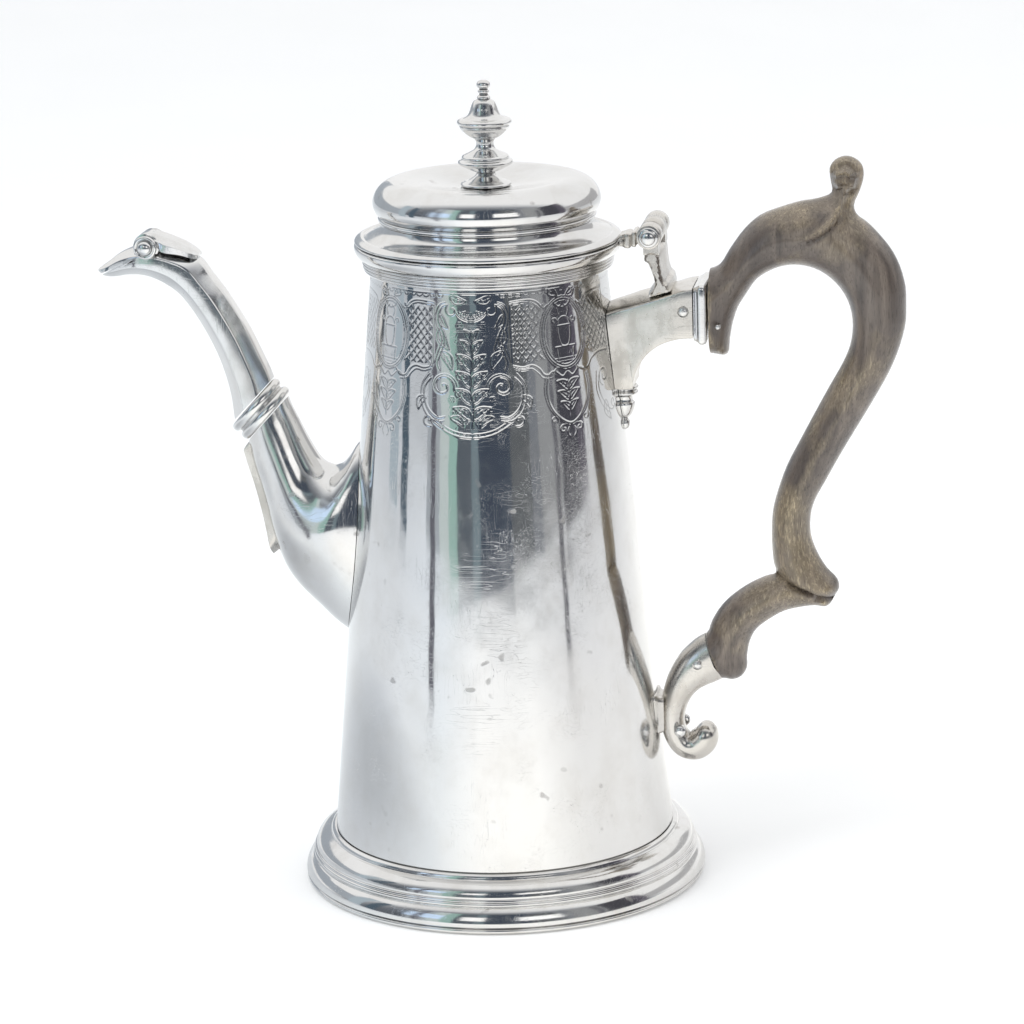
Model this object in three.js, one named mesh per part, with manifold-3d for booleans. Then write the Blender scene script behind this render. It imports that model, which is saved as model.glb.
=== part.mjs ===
// Silver coffee pot with a hinged lid, a flapped swan-neck spout and a carved wood handle.
// Millimetres, +Z up, handle towards +X, spout towards -X, resting on z = 0.
import * as THREE from 'three';
import { mergeVertices } from 'three/addons/utils/BufferGeometryUtils.js';
import Module from 'manifold-3d';

const wasm = await Module();
wasm.setup();

// ---------- main dimensions ----------
const AXIS_X = -2.35;           // pot axis, placed so the handle and spout are centred about x = 0
const GAP = 0.25;              // seam left between soldered pieces
const SEG = 40;                // facets round the large turned pieces
const SEG_FINE = 18;           // facets round the small turned pieces
const WALL = 1.0;              // sheet thickness
const BODY_Z0 = 15.4, BODY_Z1 = 189.3;
const BODY_R0 = 50.0, BODY_TAPER = 0.0966; // radius at z = 15 and loss of radius per mm of height
const HINGE_X = 47.6, HINGE_Z = 192.1, HINGE_R = 3.5, HINGE_HALF = 12.0, KNUCKLE_HALF = 5.2;
const PIN_R = 1.1, PIN_RUN = 0.06;
const FLAP_X = -99.2, FLAP_Z = 187.9, FLAP_R = 3.8, FLAP_PIN_R = 0.9;
const SOCKET_HALF = 10.0;
const WOOD_HALF = 9.2;

const bodyR = (z) => BODY_R0 - (z - 15) * BODY_TAPER;

// ---------- helpers ----------
function toManifold(geo) {
  let g = geo.index ? geo.clone() : geo.clone();
  g.deleteAttribute('normal');
  g.deleteAttribute('uv');
  g = mergeVertices(g, 1e-4);
  const m = new wasm.Mesh({
    numProp: 3,
    vertProperties: new Float32Array(g.attributes.position.array),
    triVerts: new Uint32Array(g.index.array),
  });
  return new wasm.Manifold(m);
}
function toGeometry(man) {
  const m = man.getMesh();
  const g = new THREE.BufferGeometry();
  const n = m.numProp;
  const pos = new Float32Array((m.vertProperties.length / n) * 3);
  for (let i = 0; i < pos.length / 3; i++) for (let k = 0; k < 3; k++) pos[i * 3 + k] = m.vertProperties[i * n + k];
  g.setAttribute('position', new THREE.BufferAttribute(pos, 3));
  g.setIndex(new THREE.BufferAttribute(new Uint32Array(m.triVerts), 1));
  g.computeVertexNormals();
  return g;
}
function indexed(verts, tris) {
  const g = new THREE.BufferGeometry();
  g.setAttribute('position', new THREE.BufferAttribute(new Float32Array(verts.flat()), 3));
  g.setIndex(new THREE.BufferAttribute(new Uint32Array(tris.flat()), 1));
  // keep the outside facing outwards
  let vol = 0;
  const p = verts;
  for (const [a, b, c] of tris) {
    const A = p[a], B = p[b], C = p[c];
    vol += A[0] * (B[1] * C[2] - B[2] * C[1]) - A[1] * (B[0] * C[2] - B[2] * C[0]) + A[2] * (B[0] * C[1] - B[1] * C[0]);
  }
  if (vol < 0) g.setIndex(new THREE.BufferAttribute(new Uint32Array(tris.map(([a, b, c]) => [a, c, b]).flat()), 1));
  g.computeVertexNormals();
  return g;
}
// closed outline of [radius, height] pairs turned about the vertical axis at (cx, cy)
function revolve(profile, seg = SEG, cx = 0, cy = 0) {
  const verts = [], tris = [], ring = [];
  for (const [r, z] of profile) {
    if (r < 1e-6) { ring.push([verts.length]); verts.push([cx, cy, z]); }
    else {
      const base = verts.length, ids = [];
      for (let i = 0; i < seg; i++) {
        const a = (i / seg) * Math.PI * 2;
        verts.push([cx + r * Math.cos(a), cy + r * Math.sin(a), z]);
        ids.push(base + i);
      }
      ring.push(ids);
    }
  }
  const n = ring.length;
  for (let k = 0; k < n; k++) {
    const A = ring[k], B = ring[(k + 1) % n];
    if (A.length === 1 && B.length === 1) continue;
    for (let i = 0; i < seg; i++) {
      const j = (i + 1) % seg;
      if (A.length === 1) tris.push([A[0], B[i], B[j]]);
      else if (B.length === 1) tris.push([A[i], B[0], A[j]]);
      else { tris.push([A[i], B[i], B[j]]); tris.push([A[i], B[j], A[j]]); }
    }
  }
  return indexed(verts, tris);
}
// solid through a list of rings with the same number of points
function loft(rings) {
  const n = rings[0].length, verts = rings.flat().map((p) => [...p]), tris = [];
  for (let k = 0; k < rings.length - 1; k++)
    for (let i = 0; i < n; i++) {
      const j = (i + 1) % n, a = k * n + i, b = k * n + j, c = (k + 1) * n + i, d = (k + 1) * n + j;
      tris.push([a, c, d], [a, d, b]);
    }
  const cap = (k, flip) => {
    const ctr = [0, 0, 0];
    for (let i = 0; i < n; i++) for (let q = 0; q < 3; q++) ctr[q] += rings[k][i][q] / n;
    const id = verts.length;
    verts.push(ctr);
    for (let i = 0; i < n; i++) {
      const j = (i + 1) % n;
      tris.push(flip ? [id, k * n + j, k * n + i] : [id, k * n + i, k * n + j]);
    }
  };
  cap(0, false);
  cap(rings.length - 1, true);
  return indexed(verts, tris);
}
// ring between a back point and a front point in the XZ plane, half-width w in Y, n points, superellipse power q
function section([bx, bz], [fx, fz], w, n, q = 2, phase = 0, shrink = 0) {
  const cx = (bx + fx) / 2, cz = (bz + fz) / 2, dx = (bx - fx) / 2, dz = (bz - fz) / 2;
  const L = Math.hypot(dx, dz), k = Math.max((L - shrink) / L, 0.02), ww = Math.max(w - shrink, 0.1);
  const out = [];
  for (let i = 0; i < n; i++) {
    const a = ((i + phase) / n) * Math.PI * 2;
    const c = Math.cos(a), s = Math.sin(a);
    const u = Math.sign(c) * Math.abs(c) ** (2 / q), v = Math.sign(s) * Math.abs(s) ** (2 / q);
    out.push([cx + dx * k * u, ww * v, cz + dz * k * u]);
  }
  return out;
}
// outline in XZ pushed through Y from -h to h
function slab(points, h, steps = 1, h2 = null) {
  const s = new THREE.Shape(points.map(([x, z]) => new THREE.Vector2(x, z)));
  const lo = h2 === null ? -h : h, hi = h2 === null ? h : h2;
  const g = new THREE.ExtrudeGeometry(s, { depth: hi - lo, steps, bevelEnabled: false, curveSegments: 12 });
  g.rotateX(Math.PI / 2); // shape y -> z, depth -> -y
  g.translate(0, hi, 0);
  return g;
}
// the same with rounded edges
function padded(points, h, bevel, segs = 2) {
  const s = new THREE.Shape(points.map(([x, z]) => new THREE.Vector2(x, z)));
  const g = new THREE.ExtrudeGeometry(s, {
    depth: 2 * (h - bevel), steps: 1, bevelEnabled: true, bevelThickness: bevel, bevelSize: bevel,
    bevelOffset: -bevel, bevelSegments: segs, curveSegments: 12,
  });
  g.rotateX(Math.PI / 2);
  g.translate(0, h - bevel, 0);
  return g;
}
function rodY(x, z, r, y0, y1, seg = 24) {
  const g = new THREE.CylinderGeometry(r, r, y1 - y0, seg, 1);
  g.translate(x, (y0 + y1) / 2, z);
  return g;
}
function rodX(y, z, r, x0, x1, seg = 16) {
  const g = new THREE.CylinderGeometry(r, r, x1 - x0, seg, 1);
  g.rotateZ(Math.PI / 2);
  g.translate((x0 + x1) / 2, y, z);
  return g;
}
function box(x0, x1, y0, y1, z0, z1) {
  const g = new THREE.BoxGeometry(x1 - x0, y1 - y0, z1 - z0);
  g.translate((x0 + x1) / 2, (y0 + y1) / 2, (z0 + z1) / 2);
  return g;
}
// turned piece about an axis along Y at (x, z); profile pairs are [radius, y]
function turnY(profile, x, z, seg = SEG_FINE) {
  const g = revolve(profile, seg);
  g.rotateX(-Math.PI / 2); // height z -> y
  g.translate(x, 0, z);
  return g;
}
const join = (...gs) => gs.map((g) => (g.isBufferGeometry ? toManifold(g) : g)).reduce((a, b) => a.add(b));
const cut = (a, ...gs) => gs.map((g) => (g.isBufferGeometry ? toManifold(g) : g)).reduce((x, b) => x.subtract(b), a.isBufferGeometry ? toManifold(a) : a);
const circle = (x, z, r, n = 20, a0 = 0, a1 = Math.PI * 2) =>
  Array.from({ length: n }, (_, i) => { const a = a0 + ((a1 - a0) * i) / n; return [x + r * Math.cos(a), z + r * Math.sin(a)]; });

const group = new THREE.Group();
group.name = 'silver_coffee_pot';
const SILVER = 0xc9ccd1, SILVER_DARK = 0xb4b7bd, WOOD = 0x3a2416;
function add(name, geo, color = SILVER, rough = 0.16, metal = 1) {
  let g = geo.isBufferGeometry ? toGeometry(toManifold(geo)) : toGeometry(geo);
  g.translate(AXIS_X, 0, 0);
  const m = new THREE.Mesh(g, new THREE.MeshStandardMaterial({ color, roughness: rough, metalness: metal }));
  m.name = name;
  group.add(m);
}

// solid block standing for the tapered body plus a seam, used to fit the mounts to it
const bodyBlock = (extra) => revolve([[0, -5], [bodyR(-5) + extra, -5], [bodyR(230) + extra, 230], [0, 230]], 60);

// ---------- foot and base ----------
add('foot_wire', revolve([[56.9, 0], [58.5, 0], [58.95, 0.45], [58.95, 1.0], [58.5, 1.45], [56.9, 1.45]]));
add('foot_moulding', revolve([
  [57.2, 1.7], [59.0, 1.7], [59.15, 2.5], [58.85, 4.3], [58.0, 6.0], [56.9, 7.0], [56.4, 7.3],
  [56.85, 7.9], [56.7, 8.7], [56.1, 9.1], [56.0, 10.0], [55.3, 11.5], [54.1, 12.8], [52.5, 13.7], [51.6, 13.9],
  [51.4, 14.6], [50.6, 15.15], [48.6, 15.15], [48.6, 14.3], [51.2, 12.9], [54.3, 10.6], [55.0, 8.0], [56.9, 4.6],
]));
add('base_plate', revolve([[0, 14.6], [30, 14.9], [48.2, 15.6], [48.6, 15.6], [48.6, 16.8], [47.5, 16.8], [30, 16.1], [0, 15.8]]));

// ---------- body ----------
const shell = revolve([
  [bodyR(BODY_Z0), BODY_Z0], [bodyR(BODY_Z1), BODY_Z1], [bodyR(BODY_Z1) - WALL, BODY_Z1], [bodyR(BODY_Z0) - WALL, BODY_Z0],
], 60);
const STRAINER = [];
for (const [row, n] of [[0, 3], [1, 4], [2, 3], [3, 2]])
  for (let i = 0; i < n; i++) STRAINER.push([(i - (n - 1) / 2) * 5.2, 96 + row * 6.2]);
add('body_shell', cut(shell, ...STRAINER.map(([y, z]) => rodX(y, z, 1.5, -60, -30, 8))));
add('rim_moulding', revolve([
  [bodyR(189) + 0.3, 189.3], [37.9, 189.3], [38.3, 188.9], [38.35, 188.1], [38.0, 187.0], [37.4, 186.1], [36.9, 185.55], [bodyR(186) + 0.3, 185.55],
]));
add('reeded_band', revolve([
  [bodyR(185.3) + 0.3, 185.3], [35.9, 185.3], [36.2, 184.8], [35.8, 184.25], [36.1, 183.85], [35.8, 183.25], [35.95, 182.85], [35.6, 182.3],
  [35.6, 181.9], [35.0, 181.4], [bodyR(181.4) + 0.3, 181.4],
]));

// ---------- lower spout ----------
const ROOT = [ // back point, front point, half-width
  [[-60.2, 142.9], [-72.2, 129.9], 7.5],
  [[-59.2, 140.0], [-71.9, 127.0], 7.8],
  [[-57.6, 136.6], [-71.0, 122.6], 8.4],
  [[-55.4, 131.8], [-69.2, 116.6], 9.4],
  [[-53.4, 127.9], [-67.6, 110.4], 10.4],
  [[-51.2, 124.4], [-66.2, 103.8], 11.6],
  [[-48.7, 122.6], [-64.3, 97.2], 12.9],
  [[-46.3, 122.4], [-61.6, 91.0], 14.0],
  [[-44.1, 123.6], [-58.0, 86.0], 14.8],
  [[-41.9, 126.3], [-53.0, 80.9], 15.2],
  [[-39.6, 129.4], [-46.6, 74.6], 14.9],
  [[-35.0, 131.5], [-38.0, 69.0], 13.6],
];
const NR = 24;
const rootOuter = loft(ROOT.map(([b, f, w]) => section(b, f, w, NR, 2.0)));
const rootInner = loft([
  section([-62.4, 146.6], [-74.4, 133.6], 7.4, NR, 2.0, 0, 1.2),
  ...ROOT.map(([b, f, w]) => section(b, f, w, NR, 2.0, 0, 1.2)),
  section([-28, 133], [-30, 66], 12.6, NR, 2.0, 0, 1.2),
]);
add('spout_lower', cut(rootOuter, bodyBlock(GAP), rootInner));
// strap laid on the front of the lower spout, ending in a spur
const STRAP_IN = [[-72.95, 129.2], [-72.35, 126.9], [-71.25, 122.5], [-69.45, 116.4], [-67.85, 110.2], [-66.5, 103.6], [-64.9, 97.6]];
const STRAP_OUT = [[-66.7, 95.4], [-67.6, 98.2], [-68.5, 103.2], [-69.7, 109.6], [-71.1, 115.9], [-72.8, 122.2], [-73.9, 126.4], [-74.6, 128.6]];
const strap = toManifold(padded([...STRAP_IN, ...STRAP_OUT], 3.4, 0.45, 1));
add('spout_drop', strap.subtract(toManifold(loft(ROOT.map(([b, f, w]) => section(b, f, w + 0.25, NR, 2.0, 0, -0.25))))));
// two half-round bands round the joint of the spout
const COLLAR_C = [-68.35, 139.05], COLLAR_D = [0.675, 0.738], COLLAR_N = [-0.738, 0.675];
function collarRing(off, a, w) {
  const c = [COLLAR_C[0] + COLLAR_N[0] * off, COLLAR_C[1] + COLLAR_N[1] * off];
  return section([c[0] + COLLAR_D[0] * a, c[1] + COLLAR_D[1] * a], [c[0] - COLLAR_D[0] * a, c[1] - COLLAR_D[1] * a], w, 28, 2);
}
const collarOuter = loft([[-3.1, 9.0], [-2.7, 9.6], [-1.8, 9.95], [-0.9, 9.6], [-0.35, 8.9], [0.35, 8.9], [0.9, 9.6], [1.8, 9.95], [2.7, 9.6], [3.1, 9.0]]
  .map(([o, a]) => collarRing(o, a, a * 0.86)));
const collarInner = loft([collarRing(-5, 7.0, 5.9), collarRing(5, 7.0, 5.9)]);
add('spout_collar', cut(collarOuter, collarInner));

// ---------- upper spout, eight-sided, with the beak ----------
const NECK = [
  [[-64.2, 148.5], [-76.2, 135.9], 7.3],
  [[-65.2, 151.5], [-77.1, 143.6], 7.1],
  [[-67.4, 156.6], [-79.1, 151.6], 6.9],
  [[-69.9, 162.2], [-81.3, 157.4], 6.7],
  [[-73.2, 168.2], [-84.4, 163.6], 6.5],
  [[-77.0, 174.4], [-88.1, 169.6], 6.3],
  [[-80.6, 179.4], [-91.6, 173.8], 6.2],
  [[-84.0, 184.0], [-95.4, 176.4], 6.1],
  [[-89.0, 186.3], [-98.6, 177.9], 6.0],
  [[-95.0, 187.7], [-101.2, 178.7], 5.9],
  [[-101.0, 187.9], [-103.6, 179.0], 5.6],
  [[-104.6, 187.0], [-106.0, 179.0], 5.0],
  [[-108.1, 185.3], [-108.6, 178.7], 4.1],
  [[-111.3, 183.0], [-111.4, 178.5], 2.9],
  [[-113.6, 181.4], [-113.6, 178.9], 1.6],
  [[-114.7, 180.6], [-114.6, 179.8], 0.7],
];
const NN = 16;
// eight flats: corner points pulled out, middle points on the flats
function octagon(b, f, w, shrink = 0) {
  const cx = (b[0] + f[0]) / 2, cz = (b[1] + f[1]) / 2, dx = (b[0] - f[0]) / 2, dz = (b[1] - f[1]) / 2;
  const L = Math.hypot(dx, dz), k = Math.max((L - shrink) / L, 0.05), ww = Math.max(w - shrink, 0.1), t = 0.4142;
  const corners = [[1, t], [t, 1], [-t, 1], [-1, t], [-1, -t], [-t, -1], [t, -1], [1, -t]];
  const out = [];
  for (let i = 0; i < 8; i++) {
    const A = corners[i], B = corners[(i + 1) % 8];
    for (const s of [0, 0.5]) {
      const u = A[0] + (B[0] - A[0]) * s, v = A[1] + (B[1] - A[1]) * s;
      out.push([cx + dx * k * u, ww * v, cz + dz * k * u]);
    }
  }
  return out;
}
const neckOuter = loft(NECK.map(([b, f, w]) => octagon(b, f, w)));
const inner = NECK.slice(0, 12).map(([b, f, w]) => octagon(b, f, w, 1.2));
const neckInner = loft([octagon([-62.6, 145.6], [-74.6, 131.4], 7.3, 1.2), ...inner]);
const mouthCut = slab([[-117, 177.35], [-103.2, 183.5], [-103.2, 184.4], [-117, 178.25]], 9);
const flapWell = slab([[-95.2, 176.5], [-86.6, 176.5], [-86.6, 192], [-95.2, 192]], 4.2);
const barrelWell = rodY(FLAP_X, FLAP_Z, FLAP_R + 0.35, -4.75, 4.75, 28);
const neckTop = slab([[-96.6, 188.35], [-90, 187.0], [-83.0, 185.5], [-83.0, 196], [-94.2, 196]], 9);
const ears = join(rodY(FLAP_X, FLAP_Z, 3.3, -5.9, -4.75, 28), rodY(FLAP_X, FLAP_Z, 3.3, 4.75, 5.9, 28));
const neck = cut(cut(neckOuter, neckInner, neckTop, flapWell, mouthCut, barrelWell).add(ears), rodY(FLAP_X, FLAP_Z, FLAP_PIN_R + PIN_RUN, -9, 9, 20), barrelWell);
add('spout_neck', neck);
for (const [s, tag] of [[-1, 'near'], [1, 'far']]) {
  const prof = [[0, 6.1], [3.35, 6.1], [3.45, 6.5], [3.1, 6.9], [2.35, 6.75], [2.1, 7.0], [1.9, 7.7], [1.2, 8.3], [0, 8.55]];
  let g = turnY(prof, 0, 0, 28);
  if (s < 0) g.rotateX(Math.PI);
  g.translate(FLAP_X, 0, FLAP_Z);
  add(`spout_eye_${tag}`, g);
}
add('spout_flap_pin', rodY(FLAP_X, FLAP_Z, FLAP_PIN_R, -5.85, 5.85, 20));
// hinged flap over the spout
const flapPlate = slab([
  [-98.6, 191.7], [-96.4, 191.5], [-93.1, 190.4], [-88.8, 188.9], [-84.9, 187.9], [-84.0, 187.1], [-84.6, 186.15], [-89.0, 187.1], [-94.4, 188.35], [-96.2, 188.9], [-98.8, 189.2],
], 6.0);
const flap = cut(cut(flapPlate, box(-108, -95.3, 4.5, 9, 180, 195), box(-108, -95.3, -9, -4.5, 180, 195)).add(toManifold(rodY(FLAP_X, FLAP_Z, FLAP_R, -4.5, 4.5, 28))),
  rodY(FLAP_X, FLAP_Z, FLAP_PIN_R + PIN_RUN, -9, 9, 20));
add('spout_flap', flap);

// ---------- upper handle socket ----------
const SOCK_TOP = [[33.0, 168.0], [40.4, 170.6], [47.4, 173.0], [54.5, 175.6], [57.0, 176.4], [59.4, 176.8]];
const SOCK_BOT = [[59.4, 162.6], [56.6, 162.5], [54.3, 162.2], [50.0, 160.7], [46.5, 158.1], [44.2, 155.2], [42.7, 152.5], [41.9, 149.2], [41.6, 147.3], [33.0, 147.3]];
const sockHalf = (x) => 7.0 + (SOCKET_HALF - 7.0) * Math.min(Math.max((x - 35) / 20, 0), 1);
const sockRise = (x) => 2.6 * Math.min(Math.max((59 - x) / 12, 0), 1);
const lerpZ = (pts, x) => {
  for (let i = 0; i < pts.length - 1; i++) {
    const [a, b] = pts[i][0] < pts[i + 1][0] ? [pts[i], pts[i + 1]] : [pts[i + 1], pts[i]];
    if (x >= a[0] - 1e-6 && x <= b[0] + 1e-6) return a[1] + ((b[1] - a[1]) * (x - a[0])) / (b[0] - a[0] || 1);
  }
  return pts[0][1];
};
const sock = slab([...SOCK_TOP, ...SOCK_BOT], SOCKET_HALF, 6);
{
  const p = sock.attributes.position;
  for (let i = 0; i < p.count; i++) {
    const x = p.getX(i), z = p.getZ(i), f = p.getY(i) / SOCKET_HALF;
    const zt = lerpZ(SOCK_TOP, x), zb = x < 41.6 ? 147.3 : lerpZ(SOCK_BOT, x);
    const t = Math.min(Math.max((z - zb) / Math.max(zt - zb, 1), 0), 1);
    p.setY(i, f * sockHalf(x));
    p.setZ(i, z + sockRise(x) * (1 - f * f) * t);
  }
}
const tenonHole = box(48.0, 70, -8.0, 8.0, 164.3, 174.7);
const upPin = (r) => rodY(56.8, 170.4, r, -12, 12, 20);
add('upper_socket', cut(sock, bodyBlock(GAP), tenonHole, upPin(1.25)));
add('upper_socket_flange', cut(padded([[59.7, 160.7], [63.3, 160.7], [63.3, 178.0], [59.7, 178.0]], 10.7, 0.6, 2), tenonHole));
const drop = join(
  revolve([[0, 147.0], [3.7, 147.0], [4.1, 146.5], [4.1, 145.9], [3.7, 145.4], [4.0, 144.9], [4.0, 144.3], [3.6, 143.8], [2.7, 143.4], [2.5, 142.2], [2.9, 141.6], [2.9, 140.6], [2.3, 139.0], [1.3, 137.4], [0, 137.2]], 24, 38.2),
  revolve([[0, 137.6], [0.8, 137.3], [1.35, 136.4], [1.5, 135.4], [1.3, 134.4], [0.7, 133.8], [0, 133.6]], 20, 39.0),
);
add('upper_socket_drop', cut(drop, bodyBlock(GAP)));

// ---------- lower handle socket ----------
const LOW = [
  [60.6, 72.7], [56.3, 69.5], [52.2, 65.2], [49.4, 60.6], [48.0, 55.6], [47.5, 50.0], [47.6, 43.6], [48.6, 39.6], [52.0, 36.0], [56.3, 34.4],
  [60.2, 36.2], [62.4, 39.8], [62.2, 43.8], [59.8, 46.6], [56.2, 47.4], [54.6, 47.6], [54.4, 50.2], [56.2, 54.3], [60.2, 57.6], [65.2, 59.4],
];
const low = padded(LOW, 5.9, 1.7, 2);
// end plane towards the wood
const E0 = [60.6, 72.7], E1 = [65.2, 59.4];
const EL = Math.hypot(E1[0] - E0[0], E1[1] - E0[1]);
const ED = [(E1[0] - E0[0]) / EL, (E1[1] - E0[1]) / EL], EN = [-ED[1], ED[0]]; // EN points to the wood
const alongE = (t, n) => [E0[0] + ED[0] * t + EN[0] * n, E0[1] + ED[1] * t + EN[1] * n];
const lowTenon = (t0, t1, n0, n1, h) => slab([alongE(t0, n0), alongE(t1, n0), alongE(t1, n1), alongE(t0, n1)], h);
const lowPin = (r) => rodY(58.8, 64.9, r, -12, 12, 20);
const volute = rodY(56.2, 41.6, 1.0, -9, 9, 16);
const groove = slab([[52.2, 44.9], [55.0, 46.2], [58.0, 44.8], [60.3, 41.6], [59.5, 41.2], [57.4, 43.9], [54.9, 45.0], [52.6, 44.0]], 9);
add('lower_socket', cut(low, lowTenon(3.6, 10.4, -9.6, 3, 3.9), lowPin(1.25), groove, rodY(52.9, 45.0, 1.15, -9, 9, 16)));
add('lower_socket_bead', join(rodY(52.9, 45.0, 0.9, -6.3, 6.3, 16), turnY([[0, -7.2], [1.2, -7.0], [1.7, -6.5], [1.7, -6.15], [0, -6.15]], 52.9, 45.0, 20), turnY([[0, 6.15], [1.7, 6.15], [1.7, 6.5], [1.2, 7.0], [0, 7.2]], 52.9, 45.0, 20)));
add('lower_socket_stub', cut(box(42, 47.3, -7.2, 7.2, 41.5, 56.6), bodyBlock(GAP)));

// ---------- wood handle ----------
const WOOD_LINE = [
  [64.0, 181.0], [66.6, 182.3], [69.5, 186.8], [73.8, 192.6], [78.1, 196.3], [83.8, 198.6], [89.5, 200.3], [94.6, 201.2], [98.7, 202.6],
  [98.2, 206.3], [97.9, 209.7], [99.4, 212.1], [102.2, 213.2], [104.9, 212.6], [107.0, 210.6], [107.5, 207.7], [106.4, 203.5], [104.6, 199.4],
  [105.4, 196.6], [108.4, 194.2], [111.9, 190.6], [115.6, 185.7], [118.1, 180.0], [119.4, 173.4], [119.2, 166.1], [117.5, 158.9], [114.6, 151.6], [110.3, 143.7],
  [105.4, 135.4], [100.2, 126.6], [96.1, 119.1], [92.9, 113.2], [91.7, 108.7], [91.7, 102.8], [93.4, 97.7], [96.2, 92.9], [99.2, 89.6],
  [99.7, 87.2], [98.4, 84.8], [97.2, 82.6], [95.8, 81.7], [92.7, 82.0], [88.3, 81.4], [83.9, 80.2], [79.6, 77.7], [75.7, 74.6], [73.7, 70.9],
  [72.8, 66.4], [72.7, 62.8], [71.2, 60.3], [68.6, 59.2], [65.9, 59.5], [61.1, 73.0],
  [62.7, 76.8], [65.6, 81.4], [69.5, 85.1], [73.9, 88.1], [78.3, 90.2], [81.6, 91.3],
  [80.9, 94.6], [80.5, 99.0], [80.4, 104.1], [80.8, 110.1], [82.3, 116.0], [85.0, 123.5], [88.8, 130.9], [93.2, 139.2], [97.5, 147.1], [101.3, 153.9],
  [103.3, 158.8], [104.1, 164.6], [103.3, 170.4], [100.6, 175.6], [96.4, 179.6], [92.1, 181.6], [87.9, 182.2], [84.4, 181.8], [80.8, 180.5], [77.0, 178.0],
  [73.6, 173.2], [71.6, 170.0], [70.0, 165.4], [69.1, 160.7], [68.4, 156.0], [64.0, 156.6],
];
const wood = cut(
  join(padded(WOOD_LINE, WOOD_HALF, 1.9, 2), box(49.2, 66, -7.7, 7.7, 164.6, 174.4), lowTenon(3.9, 10.1, -8.8, 3, 3.6)),
  slab([[101, 82.6], [84.2, 90.2], [84.2, 90.6], [101, 83.9]], 20), // carved parting between the two scrolls
  upPin(1.25), lowPin(1.25), rodY(66.5, 165.8, 0.65, -12, 12, 12),
);
add('wood_handle', wood, WOOD, 0.5, 0);
add('upper_pin', rodY(56.8, 170.4, 1.2, -10.6, 10.6, 20));
add('lower_pin', rodY(58.8, 64.9, 1.2, -6.3, 6.3, 20));
add('handle_dowel', rodY(66.5, 165.8, 0.6, -9.3, 9.3, 12));

// ---------- lid hinge ----------
const strut = padded([
  ...circle(48.3, 185.75, 2.65, 14, Math.PI * 0.02, Math.PI * 1.12), [47.3, 183.2], [48.3, 180.4], [48.7, 178.4], [48.2, 177.4], [47.6, 177.0], [46.8, 176.0],
  [52.8, 178.6], [51.9, 179.4], [51.6, 181.2], [51.3, 183.6],
], 11.8, 0.4, 1);
const web = (y0, y1) => slab([[45.9, 191.4], [46.3, 186.6], [50.3, 186.6], [50.2, 191.6]], y0, 1, y1);
const socketClear = slab([[30, 120], ...SOCK_TOP.map(([x, z]) => [x, z + sockRise(x) + 0.3]), [70, 177.1], [70, 120]], 30);
const bracket = cut(join(strut,
  rodY(HINGE_X, HINGE_Z, HINGE_R, -HINGE_HALF, -KNUCKLE_HALF - 0.25, 28), rodY(HINGE_X, HINGE_Z, HINGE_R, KNUCKLE_HALF + 0.25, HINGE_HALF, 28),
  web(-HINGE_HALF + 0.6, -KNUCKLE_HALF - 0.25), web(KNUCKLE_HALF + 0.25, HINGE_HALF - 0.6)),
  rodY(HINGE_X, HINGE_Z, PIN_R + PIN_RUN, -15, 15, 24), socketClear);
add('hinge_bracket', bracket);
add('hinge_pin', rodY(HINGE_X, HINGE_Z, PIN_R, -11.95, 11.95, 24));
for (const [s, tag] of [[-1, 'near'], [1, 'far']]) {
  const g = turnY([[0, 12.2], [2.6, 12.2], [2.75, 12.6], [2.3, 13.3], [1.3, 13.8], [0, 14.0]], 0, 0, 24);
  if (s < 0) g.rotateX(Math.PI);
  g.translate(HINGE_X, 0, HINGE_Z);
  add(`hinge_cap_${tag}`, g);
}

// ---------- lid ----------
const STUD_R = 1.3;
add('lid_dome', revolve([
  [STUD_R + 0.15, 204.9], [8, 205.0], [14, 205.8], [20, 206.8], [24.2, 207.3], [27.4, 207.0], [29.9, 205.9], [31.6, 204.1], [32.5, 202.0], [32.6, 200.4], [32.0, 198.6], [30.9, 197.3],
  [29.8, 197.3], [30.9, 198.9], [31.5, 200.6], [31.4, 201.8], [30.6, 203.6], [29.2, 205.0], [27.0, 205.95], [24.2, 206.2], [20, 205.7], [14, 204.7], [8, 203.9], [STUD_R + 0.15, 203.8],
]));
add('lid_bead', revolve([[29.6, 197.0], [30.7, 197.0], [31.2, 196.6], [31.25, 196.0], [30.8, 195.4], [29.6, 195.4]]));
add('lid_flange', revolve([
  [29.4, 195.1], [30.5, 195.1], [30.9, 193.9], [32.0, 192.7], [33.8, 191.7], [36.2, 191.0], [37.7, 190.8], [38.25, 190.3], [38.0, 189.6],
  [32.4, 189.6], [31.2, 190.6], [29.9, 192.4], [29.4, 193.6],
]));
add('lid_bezel', revolve([[30.7, 184.6], [31.4, 184.6], [31.5, 185.2], [31.5, 189.3], [30.7, 189.3]]));
const lug = cut(join(
  rodY(HINGE_X, HINGE_Z, HINGE_R, -KNUCKLE_HALF, KNUCKLE_HALF, 28),
  slab([[38.55, 187.5], [41.0, 187.2], [45.6, 189.6], [45.6, 192.4], [41.4, 191.7], [38.55, 191.3]], 4.6),
), rodY(HINGE_X, HINGE_Z, PIN_R + PIN_RUN, -15, 15, 24));
add('lid_lug', lug);
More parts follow.
